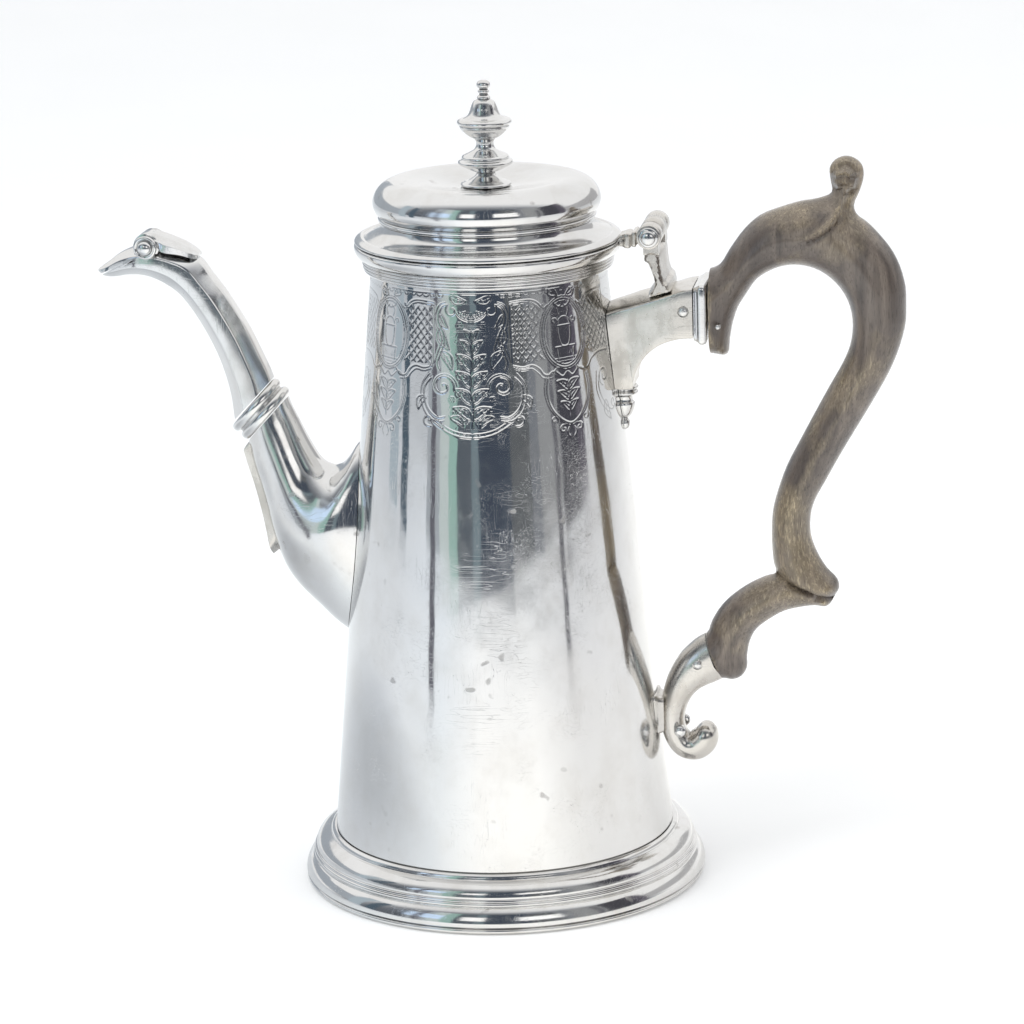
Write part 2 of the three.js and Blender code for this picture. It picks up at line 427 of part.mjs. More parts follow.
add('finial', revolve([
  [0, 202.2], [STUD_R, 202.2], [STUD_R, 205.15], [7.2, 205.15], [7.3, 205.6], [6.6, 206.3], [4.4, 207.0], [3.0, 207.9], [2.6, 208.7],
  [4.4, 209.5], [6.2, 210.6], [7.9, 211.5], [7.9, 212.1], [6.9, 212.8], [6.6, 213.6], [5.8, 214.3], [4.2, 214.9], [2.8, 215.6],
  [2.55, 217.2], [3.0, 218.6], [4.6, 219.6], [6.0, 220.7], [7.0, 221.4], [7.2, 222.2], [7.0, 222.6], [7.7, 223.1], [7.8, 223.8], [6.2, 224.4],
  [4.7, 225.1], [4.0, 226.6], [3.5, 228.0], [2.8, 229.4], [1.7, 229.8], [1.9, 230.4], [1.2, 230.9], [1.3, 231.5], [1.6, 232.0], [1.1, 232.6],
  [1.6, 233.0], [1.9, 233.9], [1.5, 234.8], [0, 235.2],
], SEG_FINE));
add('finial_nut', cut(revolve([[0, 201.4], [2.2, 201.4], [3.2, 201.8], [3.2, 203.5], [0, 203.5]], 6), revolve([[0, 202.05], [STUD_R + 0.1, 202.05], [STUD_R + 0.1, 206], [0, 206]], SEG_FINE)));

export default group;
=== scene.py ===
"""Looks for the silver coffee pot: fine surface geometry, engraving, materials, camera and studio."""
import math

import bpy
import numpy as np
from mathutils import Matrix, Vector, geometry


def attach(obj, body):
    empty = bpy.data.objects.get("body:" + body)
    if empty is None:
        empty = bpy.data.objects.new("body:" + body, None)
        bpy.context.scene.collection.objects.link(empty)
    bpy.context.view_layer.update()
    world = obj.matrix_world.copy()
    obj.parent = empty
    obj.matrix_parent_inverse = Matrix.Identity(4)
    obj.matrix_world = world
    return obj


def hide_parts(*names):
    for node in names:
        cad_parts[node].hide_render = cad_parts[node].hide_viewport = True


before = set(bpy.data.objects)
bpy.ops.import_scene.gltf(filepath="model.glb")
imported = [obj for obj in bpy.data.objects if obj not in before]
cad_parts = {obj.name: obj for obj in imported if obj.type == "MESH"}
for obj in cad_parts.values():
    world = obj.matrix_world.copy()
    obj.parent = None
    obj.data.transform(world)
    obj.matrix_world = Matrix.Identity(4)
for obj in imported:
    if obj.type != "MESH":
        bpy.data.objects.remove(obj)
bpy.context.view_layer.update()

AX = -2.35  # the pot's axis in the row frame, mm
R_BASE, TAPER = 50.0, 0.0966


def body_r(z):
    return R_BASE - (z - 15.0) * TAPER


# ------------------------------------------------------------------ mesh helpers
def catmull(pts, n):
    """Smooth open curve through pts with n pieces per span."""
    p = np.asarray(pts, float)
    if len(p) < 3 or n <= 1:
        return p
    q = np.vstack([2 * p[0] - p[1], p, 2 * p[-1] - p[-2]])
    out = []
    for i in range(1, len(q) - 2):
        p0, p1, p2, p3 = q[i - 1], q[i], q[i + 1], q[i + 2]
        d1, d2, d3 = (max(np.linalg.norm(b - a), 1e-6) ** 0.5 for a, b in ((p0, p1), (p1, p2), (p2, p3)))
        m1 = (p1 - p0) / d1 - (p2 - p0) / (d1 + d2) + (p2 - p1) / d2
        m2 = (p2 - p1) / d2 - (p3 - p1) / (d2 + d3) + (p3 - p2) / d3
        m1, m2 = m1 * d2, m2 * d2
        for t in np.arange(n) / n:
            out.append(
                (2 * t**3 - 3 * t**2 + 1) * p1 + (t**3 - 2 * t**2 + t) * m1 + (-2 * t**3 + 3 * t**2) * p2 + (t**3 - t**2) * m2
            )
    out.append(p[-1])
    return np.array(out)


def catmull_closed(pts, n):
    p = np.asarray(pts, float)
    k = len(p)
    ext = np.vstack([p[-3:], p, p[:3]])
    c = catmull(ext, n)
    return c[3 * n : (3 + k) * n]


def corners(profile, n=5, e=0.14):
    """Closed outline of (a, b) smooth points and (a, b, 1) corners. Corners are eased by e, runs between them are smooth."""
    k = len(profile)
    starts = [i for i, p in enumerate(profile) if len(p) > 2]
    if not starts:
        return catmull_closed([p[:2] for p in profile], n)
    runs = []
    for a, b in zip(starts, starts[1:] + [starts[0] + k]):
        run = catmull([profile[i % k][:2] for i in range(a, b + 1)], n)
        runs.append(run)
    out = []
    for i, run in enumerate(runs):
        prev = runs[i - 1]
        c, a, b = run[0], prev[-2], run[1]
        da, db = np.linalg.norm(a - c), np.linalg.norm(b - c)
        ea, eb = min(e, 0.45 * da), min(e, 0.45 * db)
        s, t = c + (a - c) / max(da, 1e-9) * ea, c + (b - c) / max(db, 1e-9) * eb
        for w in (0.0, 0.5, 1.0):
            out.append((1 - w) ** 2 * s + 2 * w * (1 - w) * c + w * w * t)
        out.extend(run[1:-1])
    return np.array(out)


def mesh_of(name, verts, polys):
    """verts Nx3 in mm about the pot axis; polys a list of index tuples or an array of quads."""
    v = np.asarray(verts, float).copy()
    v[:, 0] += AX
    v /= 1000.0
    mesh = bpy.data.meshes.new(name)
    if isinstance(polys, np.ndarray):
        flat, sizes = polys.ravel(), np.full(len(polys), polys.shape[1])
    else:
        sizes = np.array([len(p) for p in polys])
        flat = np.concatenate([np.asarray(p) for p in polys])
    mesh.vertices.add(len(v))
    mesh.vertices.foreach_set("co", v.astype(np.float32).ravel())
    mesh.loops.add(len(flat))
    mesh.loops.foreach_set("vertex_index", flat.astype(np.int32))
    mesh.polygons.add(len(sizes))
    mesh.polygons.foreach_set("loop_start", np.concatenate([[0], np.cumsum(sizes)[:-1]]).astype(np.int32))
    mesh.update(calc_edges=True)
    mesh.validate()
    o = bpy.data.objects.new(name, mesh)
    bpy.context.scene.collection.objects.link(o)
    return o


def volume(verts, polys):
    v = np.asarray(verts)
    total = 0.0
    for p in polys:
        a = v[p[0]]
        for i in range(1, len(p) - 1):
            total += np.dot(a, np.cross(v[p[i]], v[p[i + 1]]))
    return total


def revolve_arrays(profile, seg, cx=0.0, cy=0.0):
    prof = np.asarray(profile, float)
    a = np.arange(seg) / seg * 2 * math.pi
    verts, rings = [], []
    count = 0
    for r, z in prof:
        if r < 1e-6:
            verts.append(np.array([[cx, cy, z]]))
            rings.append([count])
            count += 1
        else:
            verts.append(np.stack([cx + r * np.cos(a), cy + r * np.sin(a), np.full(seg, z)], 1))
            rings.append(np.arange(count, count + seg))
            count += seg
    area = 0.0
    for (r0, z0), (r1, z1) in zip(prof, np.roll(prof, -1, 0)):
        area += r0 * z1 - r1 * z0
    polys = []
    nxt = (np.arange(seg) + 1) % seg
    for k in range(len(rings)):
        A, B = rings[k], rings[(k + 1) % len(rings)]
        if len(A) == 1 and len(B) == 1:
            continue
        if len(A) == 1:
            new = [(A[0], B[nxt[i]], B[i]) for i in range(seg)]
        elif len(B) == 1:
            new = [(A[i], A[nxt[i]], B[0]) for i in range(seg)]
        else:
            new = [(A[i], A[nxt[i]], B[nxt[i]], B[i]) for i in range(seg)]
        polys.extend(new)
    if area < 0:
        polys = [p[::-1] for p in polys]
    return np.vstack(verts), polys


def revolved(name, profile, seg=192, n=5, e=0.14, cx=0.0, cy=0.0, smooth=True):
    prof = corners(profile, n, e) if smooth else np.asarray([p[:2] for p in profile])
    prof[:, 0] = np.maximum(prof[:, 0], 0)
    v, f = revolve_arrays(prof, seg, cx, cy)
    return mesh_of(name, v, f)


def turned_y(name, profile, x, z, seg=64, n=4, e=0.1, flip=False):
    """Turned about an axis along Y: profile pairs are (radius, y)."""
    prof = corners(profile, n, e)
    prof[:, 0] = np.maximum(prof[:, 0], 0)
    v, f = revolve_arrays(prof, seg)
    s = -1.0 if flip else 1.0
    w = np.stack([x + v[:, 0], s * v[:, 2], z - s * v[:, 1]], 1)
    return mesh_of(name, w, f)


def rod_y(name, x, z, r, y0, y1, seg=64, e=0.12):
    return turned_y(name, [(0, y0, 1), (r, y0, 1), (r, y1, 1), (0, y1, 1)], x, z, seg, 1, e)


def loft_arrays(rings, m=1, caps=True):
    R = np.asarray(rings, float)
    if m > 1:
        k, n = R.shape[0], R.shape[1]
        flat = R.reshape(k, n * 3)
        R = catmull(flat, m).reshape(-1, n, 3)
    k, n = R.shape[0], R.shape[1]
    verts = R.reshape(-1, 3)
    i = np.arange(n)
    j = (i + 1) % n
    polys = []
    for a in range(k - 1):
        polys += [(int(a * n + p), int(a * n + q), int((a + 1) * n + q), int((a + 1) * n + p)) for p, q in zip(i, j)]
    if caps:
        c0, c1 = R[0].mean(0), R[-1].mean(0)
        verts = np.vstack([verts, c0, c1])
        polys += [(len(verts) - 2, int(q), int(p)) for p, q in zip(i, j)]
        polys += [(len(verts) - 1, int((k - 1) * n + p), int((k - 1) * n + q)) for p, q in zip(i, j)]
    if volume(verts, polys) < 0:
        polys = [p[::-1] for p in polys]
    return verts, polys


def lofted(name, rings, m=1):
    return mesh_of(name, *loft_arrays(rings, m))


def oval(b, f, w, n=64, q=2.0, shrink=0.0):
    """Ring between a back and a front point in the XZ plane, half width w along Y."""
    b, f = np.array(b, float), np.array(f, float)
    c, d = (b + f) / 2, (b - f) / 2
    L = np.linalg.norm(d)
    k, ww = max((L - shrink) / L, 0.02), max(w - shrink, 0.1)
    a = np.arange(n) / n * 2 * math.pi
    u = np.sign(np.cos(a)) * np.abs(np.cos(a)) ** (2 / q)
    v = np.sign(np.sin(a)) * np.abs(np.sin(a)) ** (2 / q)
    return np.stack([c[0] + d[0] * k * u, ww * v, c[1] + d[1] * k * u], 1)


def faceted(b, f, w, shrink=0.0, soft=0.10):
    """Eight-sided ring with eased corners."""
    b, f = np.array(b, float), np.array(f, float)
    c, d = (b + f) / 2, (b - f) / 2
    L = np.linalg.norm(d)
    k, ww = max((L - shrink) / L, 0.05), max(w - shrink, 0.1)
    t = 0.4142
    cs = [(1, t), (t, 1), (-t, 1), (-1, t), (-1, -t), (-t, -1), (t, -1), (1, -t)]
    out = []
    for i in range(8):
        P, A, B = (np.array(cs[j % 8], float) for j in (i, i - 1, i + 1))
        s, e = P + (A - P) * soft, P + (B - P) * soft
        for w_ in (0.0, 0.33, 0.67, 1.0):
            out.append((1 - w_) ** 2 * s + 2 * w_ * (1 - w_) * P + w_ * w_ * e)
        out.append(P + (B - P) * 0.5)
    o = np.array(out)
    return np.stack([c[0] + d[0] * k * o[:, 0], ww * o[:, 1], c[1] + d[1] * k * o[:, 0]], 1)


def block(b, f, w, r=0.8, arch=0.0, n=6):
    """Rounded oblong ring: b is the top point, f the bottom point in the XZ plane, w the half width, arch lifts the top's middle."""
    b, f = np.array(b, float), np.array(f, float)
    L = np.linalg.norm(b - f)
    up = (b - f) / L
    pts = []
    r = min(r, L * 0.45, w * 0.9)
    for cx, cz, a0 in ((w - r, L - r, 0), (-(w - r), L - r, 90), (-(w - r), r, 180), (w - r, r, 270)):
        for k in range(n + 1):
            a = math.radians(a0 + 90 * k / n)
            pts.append((cx + r * math.cos(a), cz + r * math.sin(a)))
        if a0 == 0:
            for s in np.linspace(1, -1, 14)[1:-1]:
                pts.append(((w - r) * s, L))
        if a0 in (90, 270):
            for s in np.linspace(0, 1, 7)[1:-1]:
                z0, z1 = (L - r, r) if a0 == 90 else (r, L - r)
                pts.append((-w if a0 == 90 else w, z0 + (z1 - z0) * s))
    out = []
    for y, z in pts:
        z2 = z + arch * (1 - (y / w) ** 2) * max(0.0, min(1.0, z / L)) ** 2
        p = f + up * z2
        out.append((p[0], y, p[1]))
    return np.array(out)


def inside(poly, pts):
    x, z = pts[:, 0], pts[:, 1]
    res = np.zeros(len(pts), bool)
    for (x0, z0), (x1, z1) in zip(poly, np.roll(poly, -1, 0)):
        c = (z0 > z) != (z1 > z)
        with np.errstate(divide="ignore", invalid="ignore"):
            xi = (x1 - x0) * (z - z0) / (z1 - z0) + x0
        res ^= c & (x < xi)
    return res


def edge_distance(poly, pts):
    best = np.full(len(pts), 1e9)
    for a, b in zip(poly, np.roll(poly, -1, 0)):
        d = b - a
        t = np.clip(((pts - a) @ d) / max(d @ d, 1e-12), 0, 1)
        best = np.minimum(best, np.linalg.norm(pts - a - t[:, None] * d, axis=1))
    return best


def resample(poly, step):
    out = []
    for a, b in zip(poly, np.roll(poly, -1, 0)):
        k = max(1, int(round(np.linalg.norm(b - a) / step)))
        for i in range(k):
            out.append(a + (b - a) * i / k)
    return np.array(out)


def inflated(name, outline, half, round_, power=2.3, step=0.8, shape=None, offsets=(0.05, 0.22, 0.55, 1.1, 1.9)):
    """Solid with this XZ outline and edges rounded over the distance round_. half is a number or a function of points, shape(points, height) alters the surface."""
    poly = resample(np.asarray(outline, float), step * 0.8)
    nrm = np.roll(poly, -1, 0) - np.roll(poly, 1, 0)
    area = np.sum(poly[:, 0] * np.roll(poly[:, 1], -1) - np.roll(poly[:, 0], -1) * poly[:, 1])
    nrm = np.stack([-nrm[:, 1], nrm[:, 0]], 1) * (1 if area > 0 else -1)
    nrm /= np.maximum(np.linalg.norm(nrm, axis=1, keepdims=True), 1e-9)
    pts = []
    last = 0
    for off in offsets:
        d = off * round_ / 5.5 if round_ > 1.5 else off * round_ / 3.0
        q = poly + nrm * d
        ok = inside(poly, q) & (edge_distance(poly, q) > 0.93 * d)
        pts.append(q[ok])
        last = d
    lo, hi = poly.min(0), poly.max(0)
    gx, gz = np.meshgrid(np.arange(lo[0], hi[0], step), np.arange(lo[1], hi[1], step))
    gx = gx + (np.arange(gx.shape[0]) % 2)[:, None] * step / 2
    g = np.stack([gx.ravel(), gz.ravel()], 1)
    g = g[inside(poly, g)]
    g = g[edge_distance(poly, g) > last + 0.45 * step]
    inner = np.vstack(pts + [g])
    allp = np.vstack([poly, inner])
    k = len(poly)
    edges = [(i, (i + 1) % k) for i in range(k)]
    res = geometry.delaunay_2d_cdt([Vector(p) for p in allp], edges, [], 1, 1e-5)
    P = np.array([tuple(p) for p in res[0]])
    tris = [tuple(t) for t in res[2]]
    d = edge_distance(poly, P)
    d[d < 1e-4] = 0
    hh = half(P) if callable(half) else np.full(len(P), float(half))
    t = np.minimum(d / round_, 1)
    h = hh * (1 - (1 - t) ** power) ** (1 / power)
    if shape is not None:
        h = np.maximum(shape(P, h, d), 0.02)
    h[d == 0] = 0
    n = len(P)
    on = d == 0
    idx = np.arange(n)
    back = np.where(on, idx, n + np.cumsum(~on) - 1)
    verts = np.vstack([np.stack([P[:, 0], -h, P[:, 1]], 1), np.stack([P[~on, 0], h[~on], P[~on, 1]], 1)])
    polys = [t for t in tris] + [tuple(int(back[i]) for i in t[::-1]) for t in tris]
    if volume(verts, polys) < 0:
        polys = [p[::-1] for p in polys]
    return mesh_of(name, verts, polys)


def prism(name, pts, y0, y1):
    """Straight outline through Y."""
    p = np.asarray(pts, float)
    n = len(p)
    verts = np.vstack([np.stack([p[:, 0], np.full(n, y0), p[:, 1]], 1), np.stack([p[:, 0], np.full(n, y1), p[:, 1]], 1)])
    polys = [tuple(range(n)), tuple(range(2 * n - 1, n - 1, -1))]
    polys += [(i, n + i, n + (i + 1) % n, (i + 1) % n) for i in range(n)]
    if volume(verts, polys) < 0:
        polys = [q[::-1] for q in polys]
    return mesh_of(name, verts, polys)


def boolean(o, tools, op="DIFFERENCE"):
    for t in tools:
        m = o.modifiers.new("b", "BOOLEAN")
        m.operation, m.object, m.solver = op, t, "MANIFOLD"
        dg = bpy.context.evaluated_depsgraph_get()
        mesh = bpy.data.meshes.new_from_object(o.evaluated_get(dg), depsgraph=dg)
        o.modifiers.clear()
        old = o.data
        o.data = mesh
        bpy.data.meshes.remove(old)
    for t in tools:
        if not t.get("keep"):
            mesh = t.data
            bpy.data.objects.remove(t)
            bpy.data.meshes.remove(mesh)
    return o


def union(o, *tools):
    return boolean(o, tools, "UNION")


def minus(o, *tools):
    return boolean(o, tools, "DIFFERENCE")


def body_block(extra, seg=256, z0=-5.0, z1=230.0):
    v, f = revolve_arrays([(0, z0), (body_r(z0) + extra, z0), (body_r(z1) + extra, z1), (0, z1)], seg)
    return mesh_of("tool", v, f)


MATS = {}
PIECES = []


def piece(o, node, body, mat, angle=32, bevel=0.0):
    """Names, shades, dresses and mounts a finished piece."""
    o.name = node + "_look"
    o.data.name = o.name
    o.data.materials.clear()
    o.data.materials.append(mat)
    o.data.polygons.foreach_set("use_smooth", np.ones(len(o.data.polygons), bool))
    o.data.set_sharp_from_angle(angle=math.radians(angle))
    if bevel:
        b = o.modifiers.new("ease", "BEVEL")
        b.width, b.segments, b.limit_method, b.angle_limit = bevel / 1000, 2, "ANGLE", math.radians(angle)
        b.harden_normals = False
    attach(o, body)
    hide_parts(node)
    PIECES.append(o)
    return o


# ------------------------------------------------------------------ materials
def new_material(name):
    m = bpy.data.materials.new(name)
    m.use_nodes = True
    nt = m.node_tree
    bsdf = nt.nodes["Principled BSDF"]
    return m, nt, bsdf


def node(nt, kind, **settings):
    n = nt.nodes.new(kind)
    for k, v in settings.items():
        if k == "inputs":
            for i, val in v.items():
                n.inputs[i].default_value = val
        else:
            setattr(n, k, v)
    return n


def ramp(nt, src, stops, interp="LINEAR"):
    r = nt.nodes.new("ShaderNodeValToRGB")
    r.color_ramp.interpolation = interp
    el = r.color_ramp.elements
    while len(el) < len(stops):
        el.new(0.5)
    for e, (p, c) in zip(el, stops):
        e.position = p
        e.color = (c, c, c, 1) if isinstance(c, (int, float)) else (*c, 1)
    nt.links.new(src, r.inputs[0])
    return r.outputs[0]


def math_node(nt, op, a, b=None, clamp=False):
    n = nt.nodes.new("ShaderNodeMath")
    n.operation, n.use_clamp = op, clamp
    for i, v in enumerate((a, b)):
        if v is None:
            continue
        if isinstance(v, (int, float)):
            n.inputs[i].default_value = v
        else:
            nt.links.new(v, n.inputs[i])
    return n.outputs[0]


def mix_color(nt, fac, a, b, blend="MIX"):
    n = nt.nodes.new("ShaderNodeMix")
    n.data_type, n.blend_type = "RGBA", blend
    for i, v in ((0, fac), (6, a), (7, b)):
        if isinstance(v, (int, float)):
            n.inputs[i].default_value = v
        elif isinstance(v, tuple):
            n.inputs[i].default_value = (*v, 1)
        else:
            nt.links.new(v, n.inputs[i])
    return n.outputs[2]


def silver(name, rough=0.10, scratch=1.0, tarnish=0.35, wave=0.35, engraved=False, stretch=(1, 1, 1), cast=(1, 1, 1)):
    """Old hand-polished silver: fine crossing scratches, soft hammer waves, spots, and dark tarnish in the hollows."""
    m, nt, bsdf = new_material(name)
    L = nt.links.new
    co = node(nt, "ShaderNodeTexCoord").outputs["Object"]

    def mapped(scale, rot=(0, 0, 0)):
        mp = node(nt, "ShaderNodeMapping")
        mp.inputs["Scale"].default_value = scale
        mp.inputs["Rotation"].default_value = rot
        L(co, mp.inputs["Vector"])
        return mp.outputs[0]

    def noise(vec, scale, detail=2.0, rgh=0.5, dist=0.0):
        n = node(nt, "ShaderNodeTexNoise")
        n.inputs["Scale"].default_value = scale
        n.inputs["Detail"].default_value = detail
        n.inputs["Roughness"].default_value = rgh
        n.inputs["Distortion"].default_value = dist
        L(vec, n.inputs["Vector"])
        return n.outputs["Fac"]

    # long fine scratches in three directions: thin ridges of stretched noise
    marks = []
    for scale, rot, width in (((1, 1, 0.03), (0.3, 0.2, 0.1), 0.012), ((0.04, 1, 1), (0.1, 0.5, 0.4), 0.012), ((1, 0.05, 1), (0.7, 0.1, 0.9), 0.010)):
        v = noise(mapped(scale, rot), 900.0, 1.0, 0.4)
        d = math_node(nt, "ABSOLUTE", math_node(nt, "SUBTRACT", v, 0.5))
        line = ramp(nt, d, [(0.0, 1.0), (width, 0.0)])
        patch = ramp(nt, noise(mapped((1, 1, 1), rot), 60.0, 2.0), [(0.50, 0.0), (0.66, 1.0)])
        marks.append(math_node(nt, "MULTIPLY", line, patch))
    scr = math_node(nt, "MAXIMUM", math_node(nt, "MAXIMUM", marks[0], marks[1]), marks[2])
    broad = noise(mapped(stretch), 22.0, 3.0, 0.55)
    fine = noise(mapped((1, 1, 1)), 320.0, 3.0, 0.6)
    spots = ramp(nt, noise(mapped((1, 1, 1)), 240.0, 1.0, 0.4), [(0.70, 0.0), (0.76, 1.0)])
    spotzone = ramp(nt, noise(mapped((1, 1, 1)), 28.0, 2.0), [(0.52, 0.0), (0.62, 1.0)])
    spots = math_node(nt, "MULTIPLY", spots, spotzone)

    cav = node(nt, "ShaderNodeAttribute", attribute_name="hollow").outputs["Fac"]
    grime = ramp(nt, math_node(nt, "ADD", cav, math_node(nt, "MULTIPLY", math_node(nt, "SUBTRACT", fine, 0.5), 0.35)), [(0.18, 0.0), (0.75, 1.0)])

    tone = ramp(nt, broad, [(p, tuple(a * b for a, b in zip(c, cast))) for p, c in ((0.30, (0.735, 0.73, 0.725)), (0.52, (0.80, 0.80, 0.795)), (0.72, (0.84, 0.84, 0.84)))])
    warm = ramp(nt, noise(mapped((1, 1, 0.6)), 14.0, 4.0, 0.6), [(0.42, 0.0), (0.74, 1.0)])
    tone = mix_color(nt, math_node(nt, "MULTIPLY", warm, tarnish * 0.5), tone, (0.70, 0.655, 0.58))
    smudge = ramp(nt, noise(mapped((1, 0.8, 0.7)), 95.0, 5.0, 0.65), [(0.46, 0.0), (0.66, 1.0)])
    tone = mix_color(nt, math_node(nt, "MULTIPLY", smudge, min(0.75, tarnish * 0.42)), tone, (0.56, 0.525, 0.475))
    tone = mix_color(nt, math_node(nt, "MULTIPLY", spots, 0.45), tone, (0.42, 0.40, 0.38))
    tone = mix_color(nt, math_node(nt, "MULTIPLY", grime, 0.85), tone, (0.09, 0.085, 0.085))
    if engraved:
        ink = node(nt, "ShaderNodeAttribute", attribute_name="cut").outputs["Fac"]
        inkm = ramp(nt, ink, [(0.10, 0.0), (0.60, 1.0)])
        tone = mix_color(nt, math_node(nt, "MULTIPLY", inkm, 0.42), tone, (0.13, 0.13, 0.135))
    L(tone, bsdf.inputs["Base Color"])
    bsdf.inputs["Metallic"].default_value = 1.0

    r = math_node(nt, "ADD", rough, math_node(nt, "MULTIPLY", math_node(nt, "SUBTRACT", fine, 0.42), 0.10))
    r = math_node(nt, "ADD", r, math_node(nt, "MULTIPLY", ramp(nt, broad, [(0.35, 0.0), (0.70, 1.0)]), 0.05))
    r = math_node(nt, "ADD", r, math_node(nt, "MULTIPLY", scr, 0.20 * scratch))
    r = math_node(nt, "ADD", r, math_node(nt, "MULTIPLY", smudge, 0.10 * tarnish))
    r = math_node(nt, "ADD", r, math_node(nt, "MULTIPLY", grime, 0.30))
    r = math_node(nt, "ADD", r, math_node(nt, "MULTIPLY", spots, 0.20), True)
    L(r, bsdf.inputs["Roughness"])

    h = math_node(nt, "MULTIPLY", noise(mapped(stretch), 45.0, 2.0, 0.5), 0.9 * wave)
    h = math_node(nt, "ADD", h, math_node(nt, "MULTIPLY", fine, 0.030))
    h = math_node(nt, "SUBTRACT", h, math_node(nt, "MULTIPLY", scr, 0.030 * scratch))
    h = math_node(nt, "SUBTRACT", h, math_node(nt, "MULTIPLY", spots, 0.05))
    b = node(nt, "ShaderNodeBump")
    b.inputs["Strength"].default_value = 1.0
    b.inputs["Distance"].default_value = 0.0001
    L(h, b.inputs["Height"])
    L(b.outputs[0], bsdf.inputs["Normal"])
    return m


def wood_material():
    m, nt, bsdf = new_material("carved_wood")
    L = nt.links.new
    co = node(nt, "ShaderNodeTexCoord").outputs["Object"]

    def mapped(scale, rot=(0, 0, 0)):
        mp = node(nt, "ShaderNodeMapping")
        mp.inputs["Scale"].default_value = scale
        mp.inputs["Rotation"].default_value = rot
        L(co, mp.inputs["Vector"])
        return mp.outputs[0]

    def noise(vec, scale, detail=2.0, rgh=0.5, dist=0.0):
        n = node(nt, "ShaderNodeTexNoise")
        for k, v in (("Scale", scale), ("Detail", detail), ("Roughness", rgh), ("Distortion", dist)):
            n.inputs[k].default_value = v
        L(vec, n.inputs["Vector"])
        return n.outputs["Fac"]

    tilt = (0, 0.12, 0)
    bands = noise(mapped((1, 1, 0.06), tilt), 190.0, 4.0, 0.6, 0.6)
    pores = ramp(nt, noise(mapped((1, 1, 0.14), tilt), 2300.0, 2.0, 0.6), [(0.52, 0.0), (0.68, 1.0)])
    flecks = ramp(nt, noise(mapped((1, 1, 0.22), tilt), 1500.0, 3.0, 0.7), [(0.50, 0.0), (0.62, 1.0)])
    worn = noise(mapped((1, 1, 1)), 26.0, 4.0, 0.6)
    edge = node(nt, "ShaderNodeAttribute", attribute_name="crest").outputs["Fac"]
    cav = node(nt, "ShaderNodeAttribute", attribute_name="hollow").outputs["Fac"]
    base = ramp(nt, bands, [(0.30, (0.050, 0.038, 0.031)), (0.50, (0.135, 0.108, 0.088)), (0.72, (0.275, 0.225, 0.180))])
    wear = math_node(nt, "ADD", math_node(nt, "MULTIPLY", edge, 1.0), math_node(nt, "MULTIPLY", math_node(nt, "SUBTRACT", worn, 0.44), 2.2), True)
    gold = ramp(nt, flecks, [(0.0, (0.30, 0.235, 0.135)), (1.0, (0.62, 0.51, 0.32))])
    base = mix_color(nt, math_node(nt, "MULTIPLY", ramp(nt, noise(mapped((1, 1, 0.5), tilt), 34.0, 3.0, 0.55), [(0.42, 0.0), (0.60, 1.0)]), 0.55), base, (0.052, 0.038, 0.032))
    col = mix_color(nt, ramp(nt, wear, [(0.18, 0.0), (0.80, 0.85)]), base, gold)
    col = mix_color(nt, math_node(nt, "MULTIPLY", pores, 0.45), col, (0.040, 0.030, 0.024))
    col = mix_color(nt, math_node(nt, "MULTIPLY", cav, 0.85, True), col, (0.012, 0.008, 0.006))
    L(col, bsdf.inputs["Base Color"])
    r = math_node(nt, "ADD", 0.30, math_node(nt, "MULTIPLY", worn, 0.22))
    r = math_node(nt, "ADD", r, math_node(nt, "MULTIPLY", pores, 0.25), True)
    L(r, bsdf.inputs["Roughness"])
    bsdf.inputs["Specular IOR Level"].default_value = 0.5
    bsdf.inputs["Coat Weight"].default_value = 0.9
    bsdf.inputs["Coat Roughness"].default_value = 0.26
    h = math_node(nt, "SUBTRACT", math_node(nt, "MULTIPLY", bands, 0.5), math_node(nt, "MULTIPLY", pores, 0.55))
    h = math_node(nt, "ADD", h, math_node(nt, "MULTIPLY", worn, 1.2))
    b = node(nt, "ShaderNodeBump")
    b.inputs["Strength"].default_value = 0.9
    b.inputs["Distance"].default_value = 0.00012
    L(h, b.inputs["Height"])
    L(b.outputs[0], bsdf.inputs["Normal"])
    return m


SILVER_BODY = silver("silver_body", rough=0.045, scratch=1.3, tarnish=0.42, wave=0.22, engraved=True, stretch=(1, 1, 0.35))
SILVER_PLAIN = silver("silver_plain", rough=0.075, scratch=1.3, tarnish=0.55, wave=0.45)
SILVER_CAST = silver("silver_cast", rough=0.17, scratch=1.8, tarnish=1.6, wave=1.4, cast=(0.86, 0.835, 0.80))
STEEL_PIN = silver("pin_ends", rough=0.22, scratch=1.3, tarnish=0.8, wave=0.4)
WOOD = wood_material()


